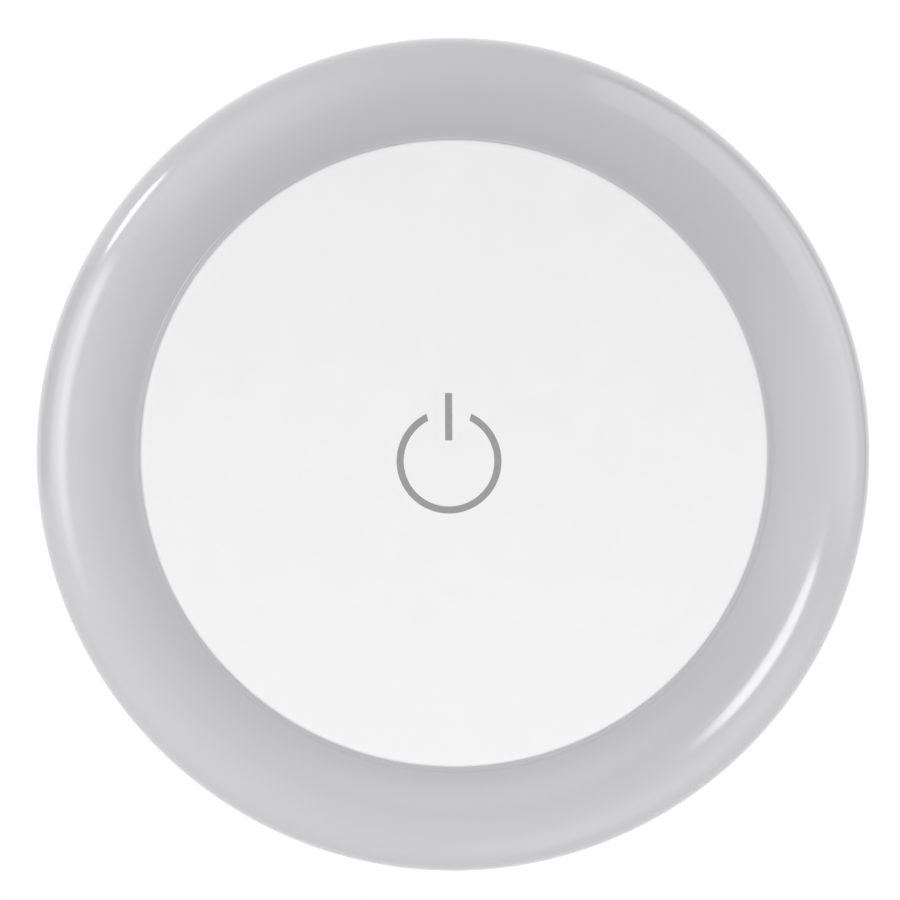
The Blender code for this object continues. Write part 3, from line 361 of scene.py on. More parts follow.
def make_disc():
    """The white disc, with its skirt, stem, ribs and hooks behind it."""
    wide, deep = DISC_CHAMFER
    edge = (DISC_RADIUS - DISC_EDGE, FRONT_Y + deep + DISC_EDGE)
    profile = [
        (0.0, DISC_BACK_Y),
        (SKIRT_INNER, DISC_BACK_Y),
        (SKIRT_INNER, SKIRT_END_Y),
        (DISC_RADIUS, SKIRT_END_Y),
    ]
    profile += arc(edge, DISC_EDGE, 0, DISC_EDGE_END, DISC_EDGE_STEPS)
    profile += [
        (DISC_RADIUS - wide, FRONT_Y + DISC_CHAMFER_LEFT),
        (DISC_RADIUS - DISC_FLAT_STARTS[0] * wide, FRONT_Y),
        (DISC_RADIUS - DISC_FLAT_STARTS[1] * wide, FRONT_Y),
        (0.0, FRONT_Y),
    ]
    build = bmesh.new()
    turn_into(build, profile, RING_STEPS)
    root_y = DISC_BACK_Y - ROOT_OVERLAP
    stem = [
        (0.0, root_y),
        (STEM_RADIUS, root_y),
        (STEM_RADIUS, STEM_END_Y - STEM_EDGE),
        (STEM_RADIUS - STEM_EDGE, STEM_END_Y),
        (0.0, STEM_END_Y),
    ]
    turn_into(build, stem, ROD_STEPS)
    middle = (STEM_RADIUS - RIB_OVERLAP + RIB_SIZE[0] / 2, root_y + RIB_SIZE[1] / 2, 0.0)
    for i in range(RIB_COUNT):
        block_into(build, RIB_SIZE, middle, math.radians(360 * i / RIB_COUNT))
    hook = [
        (HOOK_INNER, root_y),
        (HOOK_OUTER, root_y),
        (HOOK_OUTER, HOOK_SHOULDER_Y),
        (HOOK_OUTER + HOOK_BARB, HOOK_SHOULDER_Y),
        (HOOK_OUTER, HOOK_TIP_Y),
        (HOOK_INNER, HOOK_TIP_Y),
    ]
    for angle in HOOK_PLACES:
        prism_into(build, hook, HOOK_WIDTH, math.radians(angle))
    disc = smooth_object("white_disc", build)
    place_piece(disc, "push_plate", "disc_white", "push_plate")


def printed(name, left, right):
    """A thin print in the disc's face, half of it proud, between two rows of (x, z) points."""
    spin = Matrix.Rotation(SYMBOL_TILT, 2)
    build = bmesh.new()
    strips = []
    for y in (FRONT_Y - PRINT_THICKNESS, FRONT_Y + PRINT_THICKNESS):
        for row in (left, right):
            turned = [spin @ Vector(point) for point in row]
            strips.append([
                build.verts.new((SYMBOL_CENTRE[0] + x, y, SYMBOL_CENTRE[1] + z)) for x, z in turned
            ])
    around = [strips[0], strips[1], strips[3], strips[2]]
    for near, far in zip(around, around[1:] + around[:1]):
        for i in range(len(left) - 1):
            build.faces.new([near[i], near[i + 1], far[i + 1], far[i]])
    for i in (0, -1):
        build.faces.new([strip[i] for strip in around])
    return smooth_object(name, build)


def make_symbol():
    """The open ring and the bar in its gap."""
    edges = ((SYMBOL_OUTER, SYMBOL_OUTER_END), (SYMBOL_INNER, SYMBOL_INNER_END))
    rows = [arc((0.0, 0.0), radius, end, -180 - end, SYMBOL_STEPS) for radius, end in edges]
    ring = printed("symbol_ring", *rows)
    place_piece(ring, "push_plate", "print_grey", "power_mark_ring")
    half_width, half_length = SYMBOL_BAR[0] / 2, SYMBOL_BAR[1] / 2
    x, z = SYMBOL_BAR_CENTRE
    sides = [[(x + u * half_width, z + v * half_length) for v in (-1, 1)] for u in (-1, 1)]
    bar = printed("symbol_bar", *sides)
    place_piece(bar, "push_plate", "print_grey", "power_mark_bar")


def make_ring():
    """The milky ring: a hollow shell with a collar round the disc and a spigot behind."""
    centre = (RING_HOLE + RING_LIP_STARTS[0], DOME_CENTRE_Y)
    across = BODY_RADIUS - centre[0]
    along = DOME_CENTRE_Y - RING_FRONT_Y
    back_radius = BODY_RADIUS - RING_DRAFT
    profile = [
        (SPIGOT_INNER, SPIGOT_END_Y),
        (SPIGOT_OUTER, SPIGOT_END_Y),
        (SPIGOT_OUTER, SNAP_BEAD_Y + 2 * SNAP_BEAD_HALF),
        (SNAP_BEAD_RADIUS, SNAP_BEAD_Y + SNAP_BEAD_HALF),
        (SNAP_BEAD_RADIUS, SNAP_BEAD_Y - SNAP_BEAD_HALF),
        (SPIGOT_OUTER, SNAP_BEAD_Y - 2 * SNAP_BEAD_HALF),
        (SPIGOT_OUTER, RING_BACK_Y),
        (back_radius - RING_BACK_EDGE, RING_BACK_Y),
        (back_radius, RING_BACK_Y - RING_BACK_EDGE),
    ]
    profile += dome(centre, across, along, DOME_STEPS[0])[:-1]
    lip_y = RING_FRONT_Y
    for start in RING_LIP_STARTS:
        for i in range(LIP_STEPS + 1):
            share = i / LIP_STEPS
            drop = share * share * (3 - 2 * share)
            radius = RING_HOLE + start - RING_LIP_WIDTH * share
            profile.append((radius, lip_y + RING_LIP_DROP * drop))
        lip_y += RING_LIP_DROP
    edge = (RING_HOLE + RING_EDGE, lip_y + RING_EDGE)
    profile += arc(edge, RING_EDGE, -90, -180, RING_EDGE_STEPS)
    collar_outer = RING_HOLE + COLLAR_WALL
    profile += [
        (RING_HOLE, COLLAR_END_Y),
        (collar_outer, COLLAR_END_Y),
        (collar_outer, RING_FRONT_Y + RING_WALL),
    ]
    inside = dome(centre, across - RING_WALL, along - RING_WALL, DOME_STEPS[1])
    profile += [point for point in reversed(inside) if point[0] > collar_outer]
    widest = centre[0] + across - RING_WALL
    profile += [(widest, RING_BACK_Y - (widest - SPIGOT_INNER)), (SPIGOT_INNER, RING_BACK_Y)]
    build = bmesh.new()
    turn_into(build, profile, RING_STEPS, closed=True)
    ring = smooth_object("milky_ring", build)
    place_piece(ring, "housing", "diffuser_milky", "diffuser_ring")


def post_places():
    angles = [math.radians(angle) for angle in POST_PLACES]
    return [(POST_CIRCLE * math.cos(a), POST_CIRCLE * math.sin(a)) for a in angles]


def make_housing():
    """The shell behind the ring, with its posts, bosses and rests inside."""
    corner = (RIM_RADIUS - HOUSING_CORNER, BACK_Y - HOUSING_CORNER)
    inner_corner = HOUSING_CORNER - HOUSING_WALL
    rim_edge = (RIM_RADIUS - RIM_EDGE, RIM_Y + RIM_EDGE)
    rim_inner = RIM_RADIUS - HOUSING_WALL
    groove = rim_inner + 2 * SNAP_BEAD_HALF
    groove_half = SNAP_BEAD_HALF + SEAT_GAP
    profile = [(0.0, BACK_Y), (corner[0] - BACK_BORDER, BACK_Y)]
    profile += arc(corner, HOUSING_CORNER, 90, 0, CORNER_STEPS[0])
    profile += arc(rim_edge, RIM_EDGE, 0, -90, SMALL_EDGE_STEPS)
    profile += [
        (rim_inner, RIM_Y),
        (rim_inner, SNAP_BEAD_Y - groove_half - SNAP_BEAD_HALF),
        (groove, SNAP_BEAD_Y - groove_half),
        (groove, SNAP_BEAD_Y + groove_half),
        (rim_inner, SNAP_BEAD_Y + groove_half + SNAP_BEAD_HALF),
    ]
    profile += arc(corner, inner_corner, 0, 90, CORNER_STEPS[1])
    profile.append((0.0, FLOOR_Y))
    build = bmesh.new()
    turn_into(build, profile, RING_STEPS)
    housing = plain_object("rear_shell", build)
    root_y = FLOOR_Y + ROOT_OVERLAP
    supports = bmesh.new()
    for x, z in post_places():
        rod_into(supports, POST_RADIUS, POST_TOP_Y, root_y, x, z)
    for side in (-1, 1):
        rod_into(supports, BOSS_RADIUS, BOSS_TOP_Y, root_y, side * BOSS_X)
        rod_into(supports, REST_RADIUS, REST_TOP_Y, root_y, 0.0, side * REST_Z)
    cuts = bmesh.new()
    slab_into(cuts, plug_outline(SEAT_GAP), FLOOR_Y - CUT_OVERRUN, BACK_Y + CUT_OVERRUN)
    for x, z in post_places():
        rod_into(cuts, PILOT_RADIUS, POST_TOP_Y - CUT_OVERRUN, POST_PILOT_END_Y, x, z)
    for side in (-1, 1):
        rod_into(cuts, PILOT_RADIUS, BOSS_TOP_Y - CUT_OVERRUN, BOSS_PILOT_END_Y, side * BOSS_X)
    carve(housing, "UNION", plain_object("supports", supports))
    carve(housing, "DIFFERENCE", plain_object("cuts", cuts))
    place_piece(housing, "housing", "housing_white", "rear_housing")


def rounded_outline(width, height, radius, steps):
    points = []
    for u, v, start in ((1, 1, 0), (-1, 1, 90), (-1, -1, 180), (1, -1, 270)):
        centre = (u * (width / 2 - radius), v * (height / 2 - radius))
        points += arc(centre, radius, start, start + 90, steps)
    return points


def make_plug():
    """The hollow plug block with its clamped flange."""
    build = bmesh.new()
    slab_into(build, plug_outline(0.0), FLANGE_FRONT_Y + PLUG_SINK, 0.0)
    edges = [e for e in build.edges if max(v.co.y for v in e.verts) > -ON_END]
    bmesh.ops.bevel(build, geom=edges, offset=PLUG_EDGE, segments=SMALL_EDGE_STEPS,
                    profile=ROUND_BEVEL, affect="EDGES")
    plug = plain_object("plug_block", build)
    flange = bmesh.new()
    outline = rounded_outline(*FLANGE_SIZE, FLANGE_CORNER, FLANGE_STEPS)
    slab_into(flange, outline, FLANGE_FRONT_Y, FLANGE_BACK_Y)
    carve(plug, "UNION", plain_object("flange", flange))
    through = (FLANGE_FRONT_Y - CUT_OVERRUN, FLANGE_BACK_Y + CUT_OVERRUN)
    end_wall = (-PLUG_END_WALL - CUT_OVERRUN, CUT_OVERRUN)
    cuts = bmesh.new()
    slab_into(cuts, plug_outline(-PLUG_WALL), through[0], -PLUG_END_WALL)
    holes = bmesh.new()
    for side in (-1, 1):
        rod_into(holes, SLEEVE_RADIUS + SLEEVE_GAP, *end_wall, side * PIN_X)
        rod_into(cuts, SCREW_HOLE_RADIUS, *through, side * BOSS_X)
    for x, z in post_places():
        rod_into(cuts, POST_RADIUS + POST_NOTCH, *through, x, z)
    carve(plug, "DIFFERENCE", plain_object("cuts", cuts), plain_object("holes", holes))
    place_piece(plug, "housing", "housing_white", "plug_insert")


def make_pin(side, name):
    """A pin, with its neck, its collar inside the plug and its riveted end, and its sleeve."""
    x = side * PIN_X
    tip = (PIN_RADIUS - PIN_TIP_ROUND, PIN_LENGTH - PIN_TIP_ROUND)
    shoulder_y = SLEEVE_LENGTH + SEAT_GAP
    profile = [(0.0, PIN_LENGTH)] + arc(tip, PIN_TIP_ROUND, 90, 0, PIN_TIP_STEPS)
    profile += [
        (PIN_RADIUS, shoulder_y + PIN_SHOULDER_EDGE),
        (PIN_RADIUS - PIN_SHOULDER_EDGE, shoulder_y),
        (PIN_NECK_RADIUS, shoulder_y),
        (PIN_NECK_RADIUS, PIN_COLLAR_Y[0]),
        (PIN_COLLAR_RADIUS - PIN_COLLAR_EDGE, PIN_COLLAR_Y[0]),
        (PIN_COLLAR_RADIUS, PIN_COLLAR_Y[0] - PIN_COLLAR_EDGE),
        (PIN_COLLAR_RADIUS, PIN_COLLAR_Y[1]),
        (PIN_STUB_RADIUS, PIN_COLLAR_Y[1]),
        (PIN_STUB_RADIUS, RIVET_Y[0]),
        (RIVET_RADIUS, RIVET_Y[0]),
        (RIVET_RADIUS, RIVET_Y[0] - RIVET_EDGE[1]),
        (RIVET_RADIUS - RIVET_EDGE[0], RIVET_Y[1]),
        (0.0, RIVET_Y[1]),
    ]
    build = bmesh.new()
    turn_into(build, profile, ROD_STEPS, x)
    pin = smooth_object(f"pin_{name}", build)
    place_piece(pin, "housing", "pin_nickel", f"plug_pin_{name}")
    edge = (SLEEVE_RADIUS - SLEEVE_EDGE, SLEEVE_LENGTH - SLEEVE_EDGE)
    profile = arc(edge, SLEEVE_EDGE, 90, 0, SMALL_EDGE_STEPS)
    profile += [
        (SLEEVE_RADIUS, -PLUG_END_WALL),
        (SLEEVE_BORE, -PLUG_END_WALL),
        (SLEEVE_BORE, SLEEVE_LENGTH),
    ]
    build = bmesh.new()
    turn_into(build, profile, ROD_STEPS, x, closed=True)
    sleeve = smooth_object(f"sleeve_{name}", build)
    place_piece(sleeve, "housing", "sleeve_grey", f"pin_sleeve_{name}")


def make_spring():
    """The coil under the plunger. Its end turns lie flat."""
    front_y, back_y = SPRING_Y[0] + SPRING_WIRE, SPRING_Y[1] - SPRING_WIRE
    count = SPRING_TURNS * SPRING_STEPS
    build = bmesh.new()
    rows = []
    for i in range(count + 1):
        rise = (i / count - SPRING_FLAT) / (1 - 2 * SPRING_FLAT)
        middle = (SPRING_RADIUS, back_y + (front_y - back_y) * min(max(rise, 0.0), 1.0))
        turn = math.tau * i / SPRING_STEPS
        rows.append([
            build.verts.new((radius * math.cos(turn), y, radius * math.sin(turn)))
            for radius, y in arc(middle, SPRING_WIRE, 0, 360, SPRING_SIDES)[:-1]
        ])
    for near, far in zip(rows, rows[1:]):
        for i in range(SPRING_SIDES):
            j = (i + 1) % SPRING_SIDES
            build.faces.new([near[i], near[j], far[j], far[i]])
    build.faces.new(rows[0])
    build.faces.new(rows[-1][::-1])
    spring = smooth_object("coil_spring", build)
    place_piece(spring, "housing", "screw_steel", "switch_spring")
    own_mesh(spring)


# Finishes. Colours are linear, and sizes, depths and places are in metres.

# Disc and ring: colour by the distance from a centre near the middle, as (radius, share of the
# full colour) for the painted shade at the disc's rim, (radius, added grey) for the painted light
# at the ring's hole, and (radius, colour) for the ring's own cool tint with painted shade by the
# disc and painted light towards its rim. Here and below, a noise is (size, detail) and a bump of
# noise is (size, detail, depth).
DISC_PAINTED_SHADE = (
    (0.02970, 1.0),
    (0.02978, 0.95),
    (0.02984, 0.86),
    (0.02990, 0.76),
    (0.02995, 0.66),
    (0.02999, 0.6),
)
DISC_PAINTED_SHADE_CENTRE = (0.00004, 0.00004)
# Painted light at the ring's hole: added grey that lightens the shade of the groove by the disc
RING_PAINTED_LIGHT = (
    (0.02990, 0.24),
    (0.02995, 0.16),
    (0.03002, 0.095),
    (0.03012, 0.045),
    (0.03028, 0.0),
)
RING_PAINTED_LIGHT_CENTRE = (0.00004, 0.00002)
# The ring's own cool tint, with painted shade by the disc and painted light towards its rim
RING_COLOURS_AND_SHADING = (
    (0.0310, (0.500, 0.496, 0.523)),
    (0.0345, (0.569, 0.566, 0.589)),
    (0.0385, (0.700, 0.698, 0.717)),
)
RING_ROUGHNESS = 0.13
RING_IOR = 1.49
RING_WAVES = (0.0040, 1.0, 6e-6)

# Slot, colour, roughness and its spread, mottle and its size, grain and its depth
PLASTICS = (
    ("disc_white", (0.867, 0.866, 0.868), 0.50, 0.03, 0.006, 0.0035, 0.00025, 2e-6),
    ("print_grey", (0.29, 0.29, 0.29), 0.60, 0.03, 0.05, 0.0004, 0.0001, 1e-6),
    ("housing_white", None, 0.38, 0.03, 0.006, 0.006, 0.00022, 3e-6),
    ("sleeve_grey", None, 0.45, 0.04, 0.02, 0.0012, 0.00015, 2e-6),
    ("frame_white", None, 0.50, 0.05, 0.02, 0.005, 0.0002, 5e-6),
    ("capacitor_yellow", None, 0.40, 0.05, 0.03, 0.003, 0.0004, 6e-6),
    ("chip_black", None, 0.55, 0.05, 0.15, 0.0004, 0.00008, 4e-6),
    ("varistor_blue", None, 0.30, 0.06, 0.06, 0.0012, 0.0012, 4e-5),
    ("switch_black", None, 0.50, 0.05, 0.10, 0.002, 0.00015, 4e-6),
    ("plunger_white", None, 0.42, 0.04, 0.02, 0.001, 0.0002, 3e-6),
    ("lead_red", None, 0.42, 0.05, 0.05, 0.002, 0.0004, 6e-6),
    ("lead_black", None, 0.42, 0.05, 0.10, 0.002, 0.0004, 6e-6),
)
GRAIN_DETAIL = 3.0

# Slot, roughness, stretch of the tool marks and their depth
METALS = (
    ("pin_nickel", 0.24, (0.04, 1.0, 0.04), 1.5e-6),
    ("strip_brass", 0.32, (1.0, 0.06, 1.0), 2e-6),
    ("screw_steel", 0.32, (0.5, 0.5, 0.5), 2e-6),
)
METAL_SPREAD = (0.06, 0.08)
TOOL_MARKS = (0.0002, 4.0)
STAIN_SIZE = 0.003
STAIN_SHADES = (0.93, 1.03)

# Slot, name, and the colour and size of the copper fields. The Wave texture multiplies its place by
# WAVE_FACTOR.
BOARDS = (
    ("board_green", "green_board", (0.02, 0.13, 0.06), 0.0060),
    ("board_white", "white_board", (0.80, 0.80, 0.77), 0.0050),
)
BOARD_ROUGHNESS = 0.35
BOARD_SPREAD = 0.05
BOARD_PATCH_SIZE = 0.003
BOARD_RELIEF = 2e-5
FIELD_EDGE = (0.60, 0.63)
WEAVE_PITCH = 0.0004
WEAVE_SHARE = 0.2
WAVE_FACTOR = 20

# LEDs: their windows, which end softly at LED_WINDOW_EDGE times their radius, and their cases
LED_COUNT = 6
LED_CIRCLE = 0.03295
LED_WINDOW = 0.0011
LED_WINDOW_EDGE = 1.06
LED_ROUGHNESS = 0.55
LED_CASE = (0.85, 0.84, 0.80)
LED_CASE_ROUGHNESS = 0.30
LED_SPECKLE = (0.00015, 4.0)
LED_SPECKLE_SHADE = 0.9
LED_GRAIN = (0.0003, 3.0, 3e-6)

# Capacitor can, along X: where its stripe begins above its middle, how far inside its ends the
# sleeve's rim lies, and the radius of the bare ends. Each is a pair that makes a soft edge.
CAN_MIDDLE = (-0.0010, -0.0302, -0.0120)
CAN_HALF = 0.0055
CAN_STRIPE = (0.0019, 0.00194)
CAN_END = (0.00012, 0.0001)
CAN_BARE = (0.00215, 0.00219)
CAN_ROUGHNESS = 0.30
CAN_SPREAD = 0.05
CAN_PATCH_SIZE = 0.002
CAN_WRINKLES = (0.0015, 2.0, 1e-5)
CAN_STRETCH = (0.2, 1.0, 1.0)
STRIPE_GREY = (0.55, 0.55, 0.56)

# Resistors: slot, middle and half length along X, and where each colour band starts
BROWN, BLACK = (0.16, 0.05, 0.02), (0.01, 0.01, 0.01)
GREEN, GOLD = (0.02, 0.22, 0.06), (0.55, 0.38, 0.10)
RESISTORS = (
    ("resistor_tan", -0.0100, 0.0040,
     ((-0.85, BROWN), (-0.45, BLACK), (-0.15, BLACK), (0.70, GOLD))),
    ("resistor_blue", 0.0100, 0.00315,
     ((-0.85, BROWN), (-0.45, BLACK), (-0.10, GREEN), (0.68, GOLD))),
)
BAND_WIDTH = 0.00045
BAND_EDGE = 0.00002
RESISTOR_ROUGHNESS = 0.35
RESISTOR_SPREAD = 0.06
RESISTOR_PATCH_SIZE = 0.0008
RESISTOR_BUMPS = (0.0006, 2.0, 8e-6)
TINNED = (0.74, 0.74, 0.73)


def new_material(name, colour, roughness, metallic=0.0):
    material = bpy.data.materials.new(name)
    material.use_nodes = True
    tree = material.node_tree
    shader = tree.nodes["Principled BSDF"]
    shader.inputs["Base Color"].default_value = (*colour, 1.0)
    shader.inputs["Roughness"].default_value = roughness
    shader.inputs["Metallic"].default_value = metallic
    return material, tree, shader


def add_node(tree, kind, **settings):
    node = tree.nodes.new(kind)
    for key, value in settings.items():
        setattr(node, key, value)
    return node


def noise(tree, size, detail=2.0, stretch=(1.0, 1.0, 1.0)):
    """Noise in the piece's own space, with features of about a size."""
    place = add_node(tree, "ShaderNodeTexCoord")
    scale = add_node(tree, "ShaderNodeMapping")
    scale.inputs["Scale"].default_value = stretch
    texture = add_node(tree, "ShaderNodeTexNoise")
    texture.inputs["Scale"].default_value = 1.0 / size
    texture.inputs["Detail"].default_value = detail
    tree.links.new(place.outputs["Object"], scale.inputs["Vector"])
    tree.links.new(scale.outputs["Vector"], texture.inputs["Vector"])
    return texture.outputs["Fac"]


def between(tree, factor, low, high, start=0.3, end=0.7, kind="LINEAR"):
    """A value that goes from low to high as a factor goes from start to end, and holds beyond."""
    change = add_node(tree, "ShaderNodeMapRange", interpolation_type=kind)
    tree.links.new(factor, change.inputs["Value"])
    for key, value in (("From Min", start), ("From Max", end), ("To Min", low), ("To Max", high)):
        change.inputs[key].default_value = value
    return change.outputs["Result"]


def uneven_gloss(tree, shader, pattern, roughness, down, up):
    """Let a pattern move the roughness a little, down and up."""
    gloss = between(tree, pattern, roughness - down, roughness + up)
    tree.links.new(gloss, shader.inputs["Roughness"])


def add_bump(tree, shader, height, distance):
    bump = add_node(tree, "ShaderNodeBump")
    bump.inputs["Distance"].default_value = distance
    tree.links.new(height, bump.inputs["Height"])
    tree.links.new(bump.outputs["Normal"], shader.inputs["Normal"])


def add_grain(tree, shader, size, detail, depth, stretch=(1.0, 1.0, 1.0)):
    add_bump(tree, shader, noise(tree, size, detail, stretch), depth)


def colour_sockets(mix):
    return [s for s in mix.inputs if s.type == "RGBA"]


def mix_colours(tree, factor, first, second):
    mix = add_node(tree, "ShaderNodeMix", data_type="RGBA")
    tree.links.new(factor, mix.inputs["Factor"])
    for socket, colour in zip(colour_sockets(mix), (first, second)):
        if isinstance(colour, tuple):
            socket.default_value = (*colour, 1.0)
        else:
            tree.links.new(colour, socket)
    return next(s for s in mix.outputs if s.type == "RGBA")


def shade(colour, amount):
    return tuple(min(1.0, c * amount) for c in colour)


def place_parts(tree):
    """The three coordinates of a point of the surface, as x, y and z sockets."""
    place = add_node(tree, "ShaderNodeTexCoord")
    parts = add_node(tree, "ShaderNodeSeparateXYZ")
    tree.links.new(place.outputs["Object"], parts.inputs["Vector"])
    return parts.outputs


def combined(tree, operation, first, second):
    """One Math node, with a socket or a number on each side."""
    result = add_node(tree, "ShaderNodeMath", operation=operation)
    for socket, value in zip(result.inputs, (first, second)):
        if isinstance(value, (int, float)):
            socket.default_value = value
        else:
            tree.links.new(value, socket)
    return result.outputs["Value"]


def length_of(tree, *sides):
    """The length of a way that goes along sides at right angles to each other."""
    total = None
    for side in sides:
        square = combined(tree, "MULTIPLY", side, side)
        total = square if total is None else combined(tree, "ADD", total, square)
    return combined(tree, "SQRT", total, 0.0)


def distance_from(tree, **centre):
    """Distance from a point, or from a line where only two of its coordinates are given."""
    parts = place_parts(tree)
    return length_of(tree, *[
        combined(tree, "SUBTRACT", parts["xyz".index(axis)], value)
        for axis, value in centre.items()
    ])


def distance_along(tree, axis, middle):
    """Distance from a plane across one axis, to either side of it."""
    away = combined(tree, "SUBTRACT", place_parts(tree)[axis], middle)
    return combined(tree, "ABSOLUTE", away, 0.0)


def plastic(name, colour, roughness, spread, mottle, mottle_size, grain, depth):
    """Moulded plastic: a little uneven in colour and gloss, with a fine surface grain."""
    material, tree, shader = new_material(name, colour, roughness)
    patches = noise(tree, mottle_size)
    darker, lighter = shade(colour, 1 - mottle), shade(colour, 1 + mottle)
    colours = mix_colours(tree, between(tree, patches, 0, 1), darker, lighter)
    tree.links.new(colours, shader.inputs["Base Color"])
    uneven_gloss(tree, shader, patches, roughness, spread, spread)
    add_grain(tree, shader, grain, GRAIN_DETAIL, depth)
    return material


def metal(name, colour, roughness, stretch, depth):
    """Bare metal with fine tool marks that run across its stretched direction."""
    material, tree, shader = new_material(name, colour, roughness, metallic=1.0)
    marks = noise(tree, *TOOL_MARKS, stretch)
    stain = between(tree, noise(tree, STAIN_SIZE), 0, 1)
    colours = mix_colours(tree, stain, *[shade(colour, amount) for amount in STAIN_SHADES])
    tree.links.new(colours, shader.inputs["Base Color"])
    uneven_gloss(tree, shader, marks, roughness, *METAL_SPREAD)
    add_bump(tree, shader, marks, depth)
    return material


def weave(tree):
    """Two crossing sets of glass threads under a board's lacquer."""
    place = add_node(tree, "ShaderNodeTexCoord")
    threads = []
    for axis in "XZ":
        wave = add_node(tree, "ShaderNodeTexWave", bands_direction=axis)
        wave.inputs["Scale"].default_value = math.tau / (WAVE_FACTOR * WEAVE_PITCH)
        tree.links.new(place.outputs["Object"], wave.inputs["Vector"])
        threads.append(wave.outputs["Fac"])
    return combined(tree, "MAXIMUM", *threads)


def laminate(name, colour, field_colour, field_size):
    """A lacquered circuit board: broad copper fields that show through, narrow gaps, and weave."""
    material, tree, shader = new_material(name, colour, BOARD_ROUGHNESS)
    place = add_node(tree, "ShaderNodeTexCoord")
    flat = add_node(tree, "ShaderNodeVectorMath", operation="MULTIPLY")
    flat.inputs[1].default_value = (1.0, 0.0, 1.0)
    tree.links.new(place.outputs["Object"], flat.inputs[0])
    fields = add_node(tree, "ShaderNodeTexVoronoi", distance="CHEBYCHEV")
    fields.inputs["Scale"].default_value = 1.0 / field_size
    tree.links.new(flat.outputs["Vector"], fields.inputs["Vector"])
    copper = between(tree, fields.outputs["Distance"], 1.0, 0.0, *FIELD_EDGE)
    tree.links.new(mix_colours(tree, copper, colour, field_colour), shader.inputs["Base Color"])
    patches = noise(tree, BOARD_PATCH_SIZE)
    uneven_gloss(tree, shader, patches, BOARD_ROUGHNESS, BOARD_SPREAD, BOARD_SPREAD)
    threads = combined(tree, "MULTIPLY", weave(tree), WEAVE_SHARE)
    add_bump(tree, shader, combined(tree, "ADD", threads, copper), BOARD_RELIEF)
    return material


def phosphor(name, colour):
    """The LEDs: a round yellow window in a white case, at each LED's own middle."""
    material, tree, shader = new_material(name, colour, LED_ROUGHNESS)
    parts = place_parts(tree)
    turn = combined(tree, "ARCTAN2", parts["Z"], parts["X"])
    step = math.tau / LED_COUNT
    shifted = combined(tree, "ADD", turn, math.tau)
    folded = combined(tree, "SUBTRACT", combined(tree, "MODULO", shifted, step), step / 2)
    radius = distance_from(tree, x=0.0, z=0.0)
    outward = combined(tree, "MULTIPLY", radius, combined(tree, "COSINE", folded, 0.0))
    along = combined(tree, "SUBTRACT", outward, LED_CIRCLE)
    across = combined(tree, "MULTIPLY", radius, combined(tree, "SINE", folded, 0.0))
    away = length_of(tree, along, across)
    window = between(tree, away, 1.0, 0.0, LED_WINDOW, LED_WINDOW * LED_WINDOW_EDGE)
    speckle = between(tree, noise(tree, *LED_SPECKLE), 0, 1)
    yellow = mix_colours(tree, speckle, shade(colour, LED_SPECKLE_SHADE), colour)
    tree.links.new(mix_colours(tree, window, LED_CASE, yellow), shader.inputs["Base Color"])
    gloss = between(tree, window, LED_CASE_ROUGHNESS, LED_ROUGHNESS, 0.0, 1.0)
    tree.links.new(gloss, shader.inputs["Roughness"])
    add_grain(tree, shader, *LED_GRAIN)
    return material


def ringed(name, colour, middle, half, bands):
    """A lacquered resistor along X with its colour bands, and tinned wire beyond its ends."""
    material, tree, shader = new_material(name, colour, RESISTOR_ROUGHNESS)
    across = place_parts(tree)["X"]
    body = colour
    for place, band in bands:
        start = middle + half * place
        end = start + BAND_WIDTH
        near = between(tree, across, 0.0, 1.0, start - BAND_EDGE, start)
        far = between(tree, across, 1.0, 0.0, end, end + BAND_EDGE)
        body = mix_colours(tree, combined(tree, "MULTIPLY", near, far), body, band)
    wire = between(tree, distance_along(tree, "X", middle), 0.0, 1.0, half, half + BAND_EDGE)
    tree.links.new(mix_colours(tree, wire, body, TINNED), shader.inputs["Base Color"])
    tree.links.new(wire, shader.inputs["Metallic"])
    patches = noise(tree, RESISTOR_PATCH_SIZE)
    uneven_gloss(tree, shader, patches, RESISTOR_ROUGHNESS, RESISTOR_SPREAD, RESISTOR_SPREAD)
    add_grain(tree, shader, *RESISTOR_BUMPS)
    return material


def sleeved(name, colour):
    """The can's shrunk sleeve with its pale polarity stripe, and bare aluminium at its ends."""
    material, tree, shader = new_material(name, colour, CAN_ROUGHNESS)
    height = combined(tree, "SUBTRACT", place_parts(tree)["Z"], CAN_MIDDLE[2])
    stripe = between(tree, height, 0.0, 1.0, *CAN_STRIPE)
    ends = [CAN_HALF - inset for inset in CAN_END]
    end = between(tree, distance_along(tree, "X", CAN_MIDDLE[0]), 0.0, 1.0, *ends)
    reach = distance_from(tree, y=CAN_MIDDLE[1], z=CAN_MIDDLE[2])
    bare = combined(tree, "MULTIPLY", end, between(tree, reach, 1.0, 0.0, *CAN_BARE))
    sleeve = mix_colours(tree, stripe, colour, STRIPE_GREY)
    tree.links.new(mix_colours(tree, bare, sleeve, TINNED), shader.inputs["Base Color"])
    tree.links.new(bare, shader.inputs["Metallic"])
    patches = noise(tree, CAN_PATCH_SIZE)
    uneven_gloss(tree, shader, patches, CAN_ROUGHNESS, CAN_SPREAD, CAN_SPREAD)
    add_grain(tree, shader, *CAN_WRINKLES, CAN_STRETCH)
    return material


def radial_ramp(tree, stops, x=0.0, z=0.0):
    """Colour by the distance from a line along Y, through stops of (radius, colour)."""
    inner, outer = stops[0][0], stops[-1][0]
    outward = between(tree, distance_from(tree, x=x, z=z), 0.0, 1.0, inner, outer)
    ramp = add_node(tree, "ShaderNodeValToRGB")
    places = ramp.color_ramp.elements
    while len(places) < len(stops):
        places.new(0.5)
    for place, (radius, colour) in zip(places, stops):
        place.position = (radius - inner) / (outer - inner)
        place.color = (*colour, 1.0)
    tree.links.new(outward, ramp.inputs["Fac"])
    return ramp.outputs["Color"]


def grey_stops(stops):
    return [(radius, (level, level, level)) for radius, level in stops]


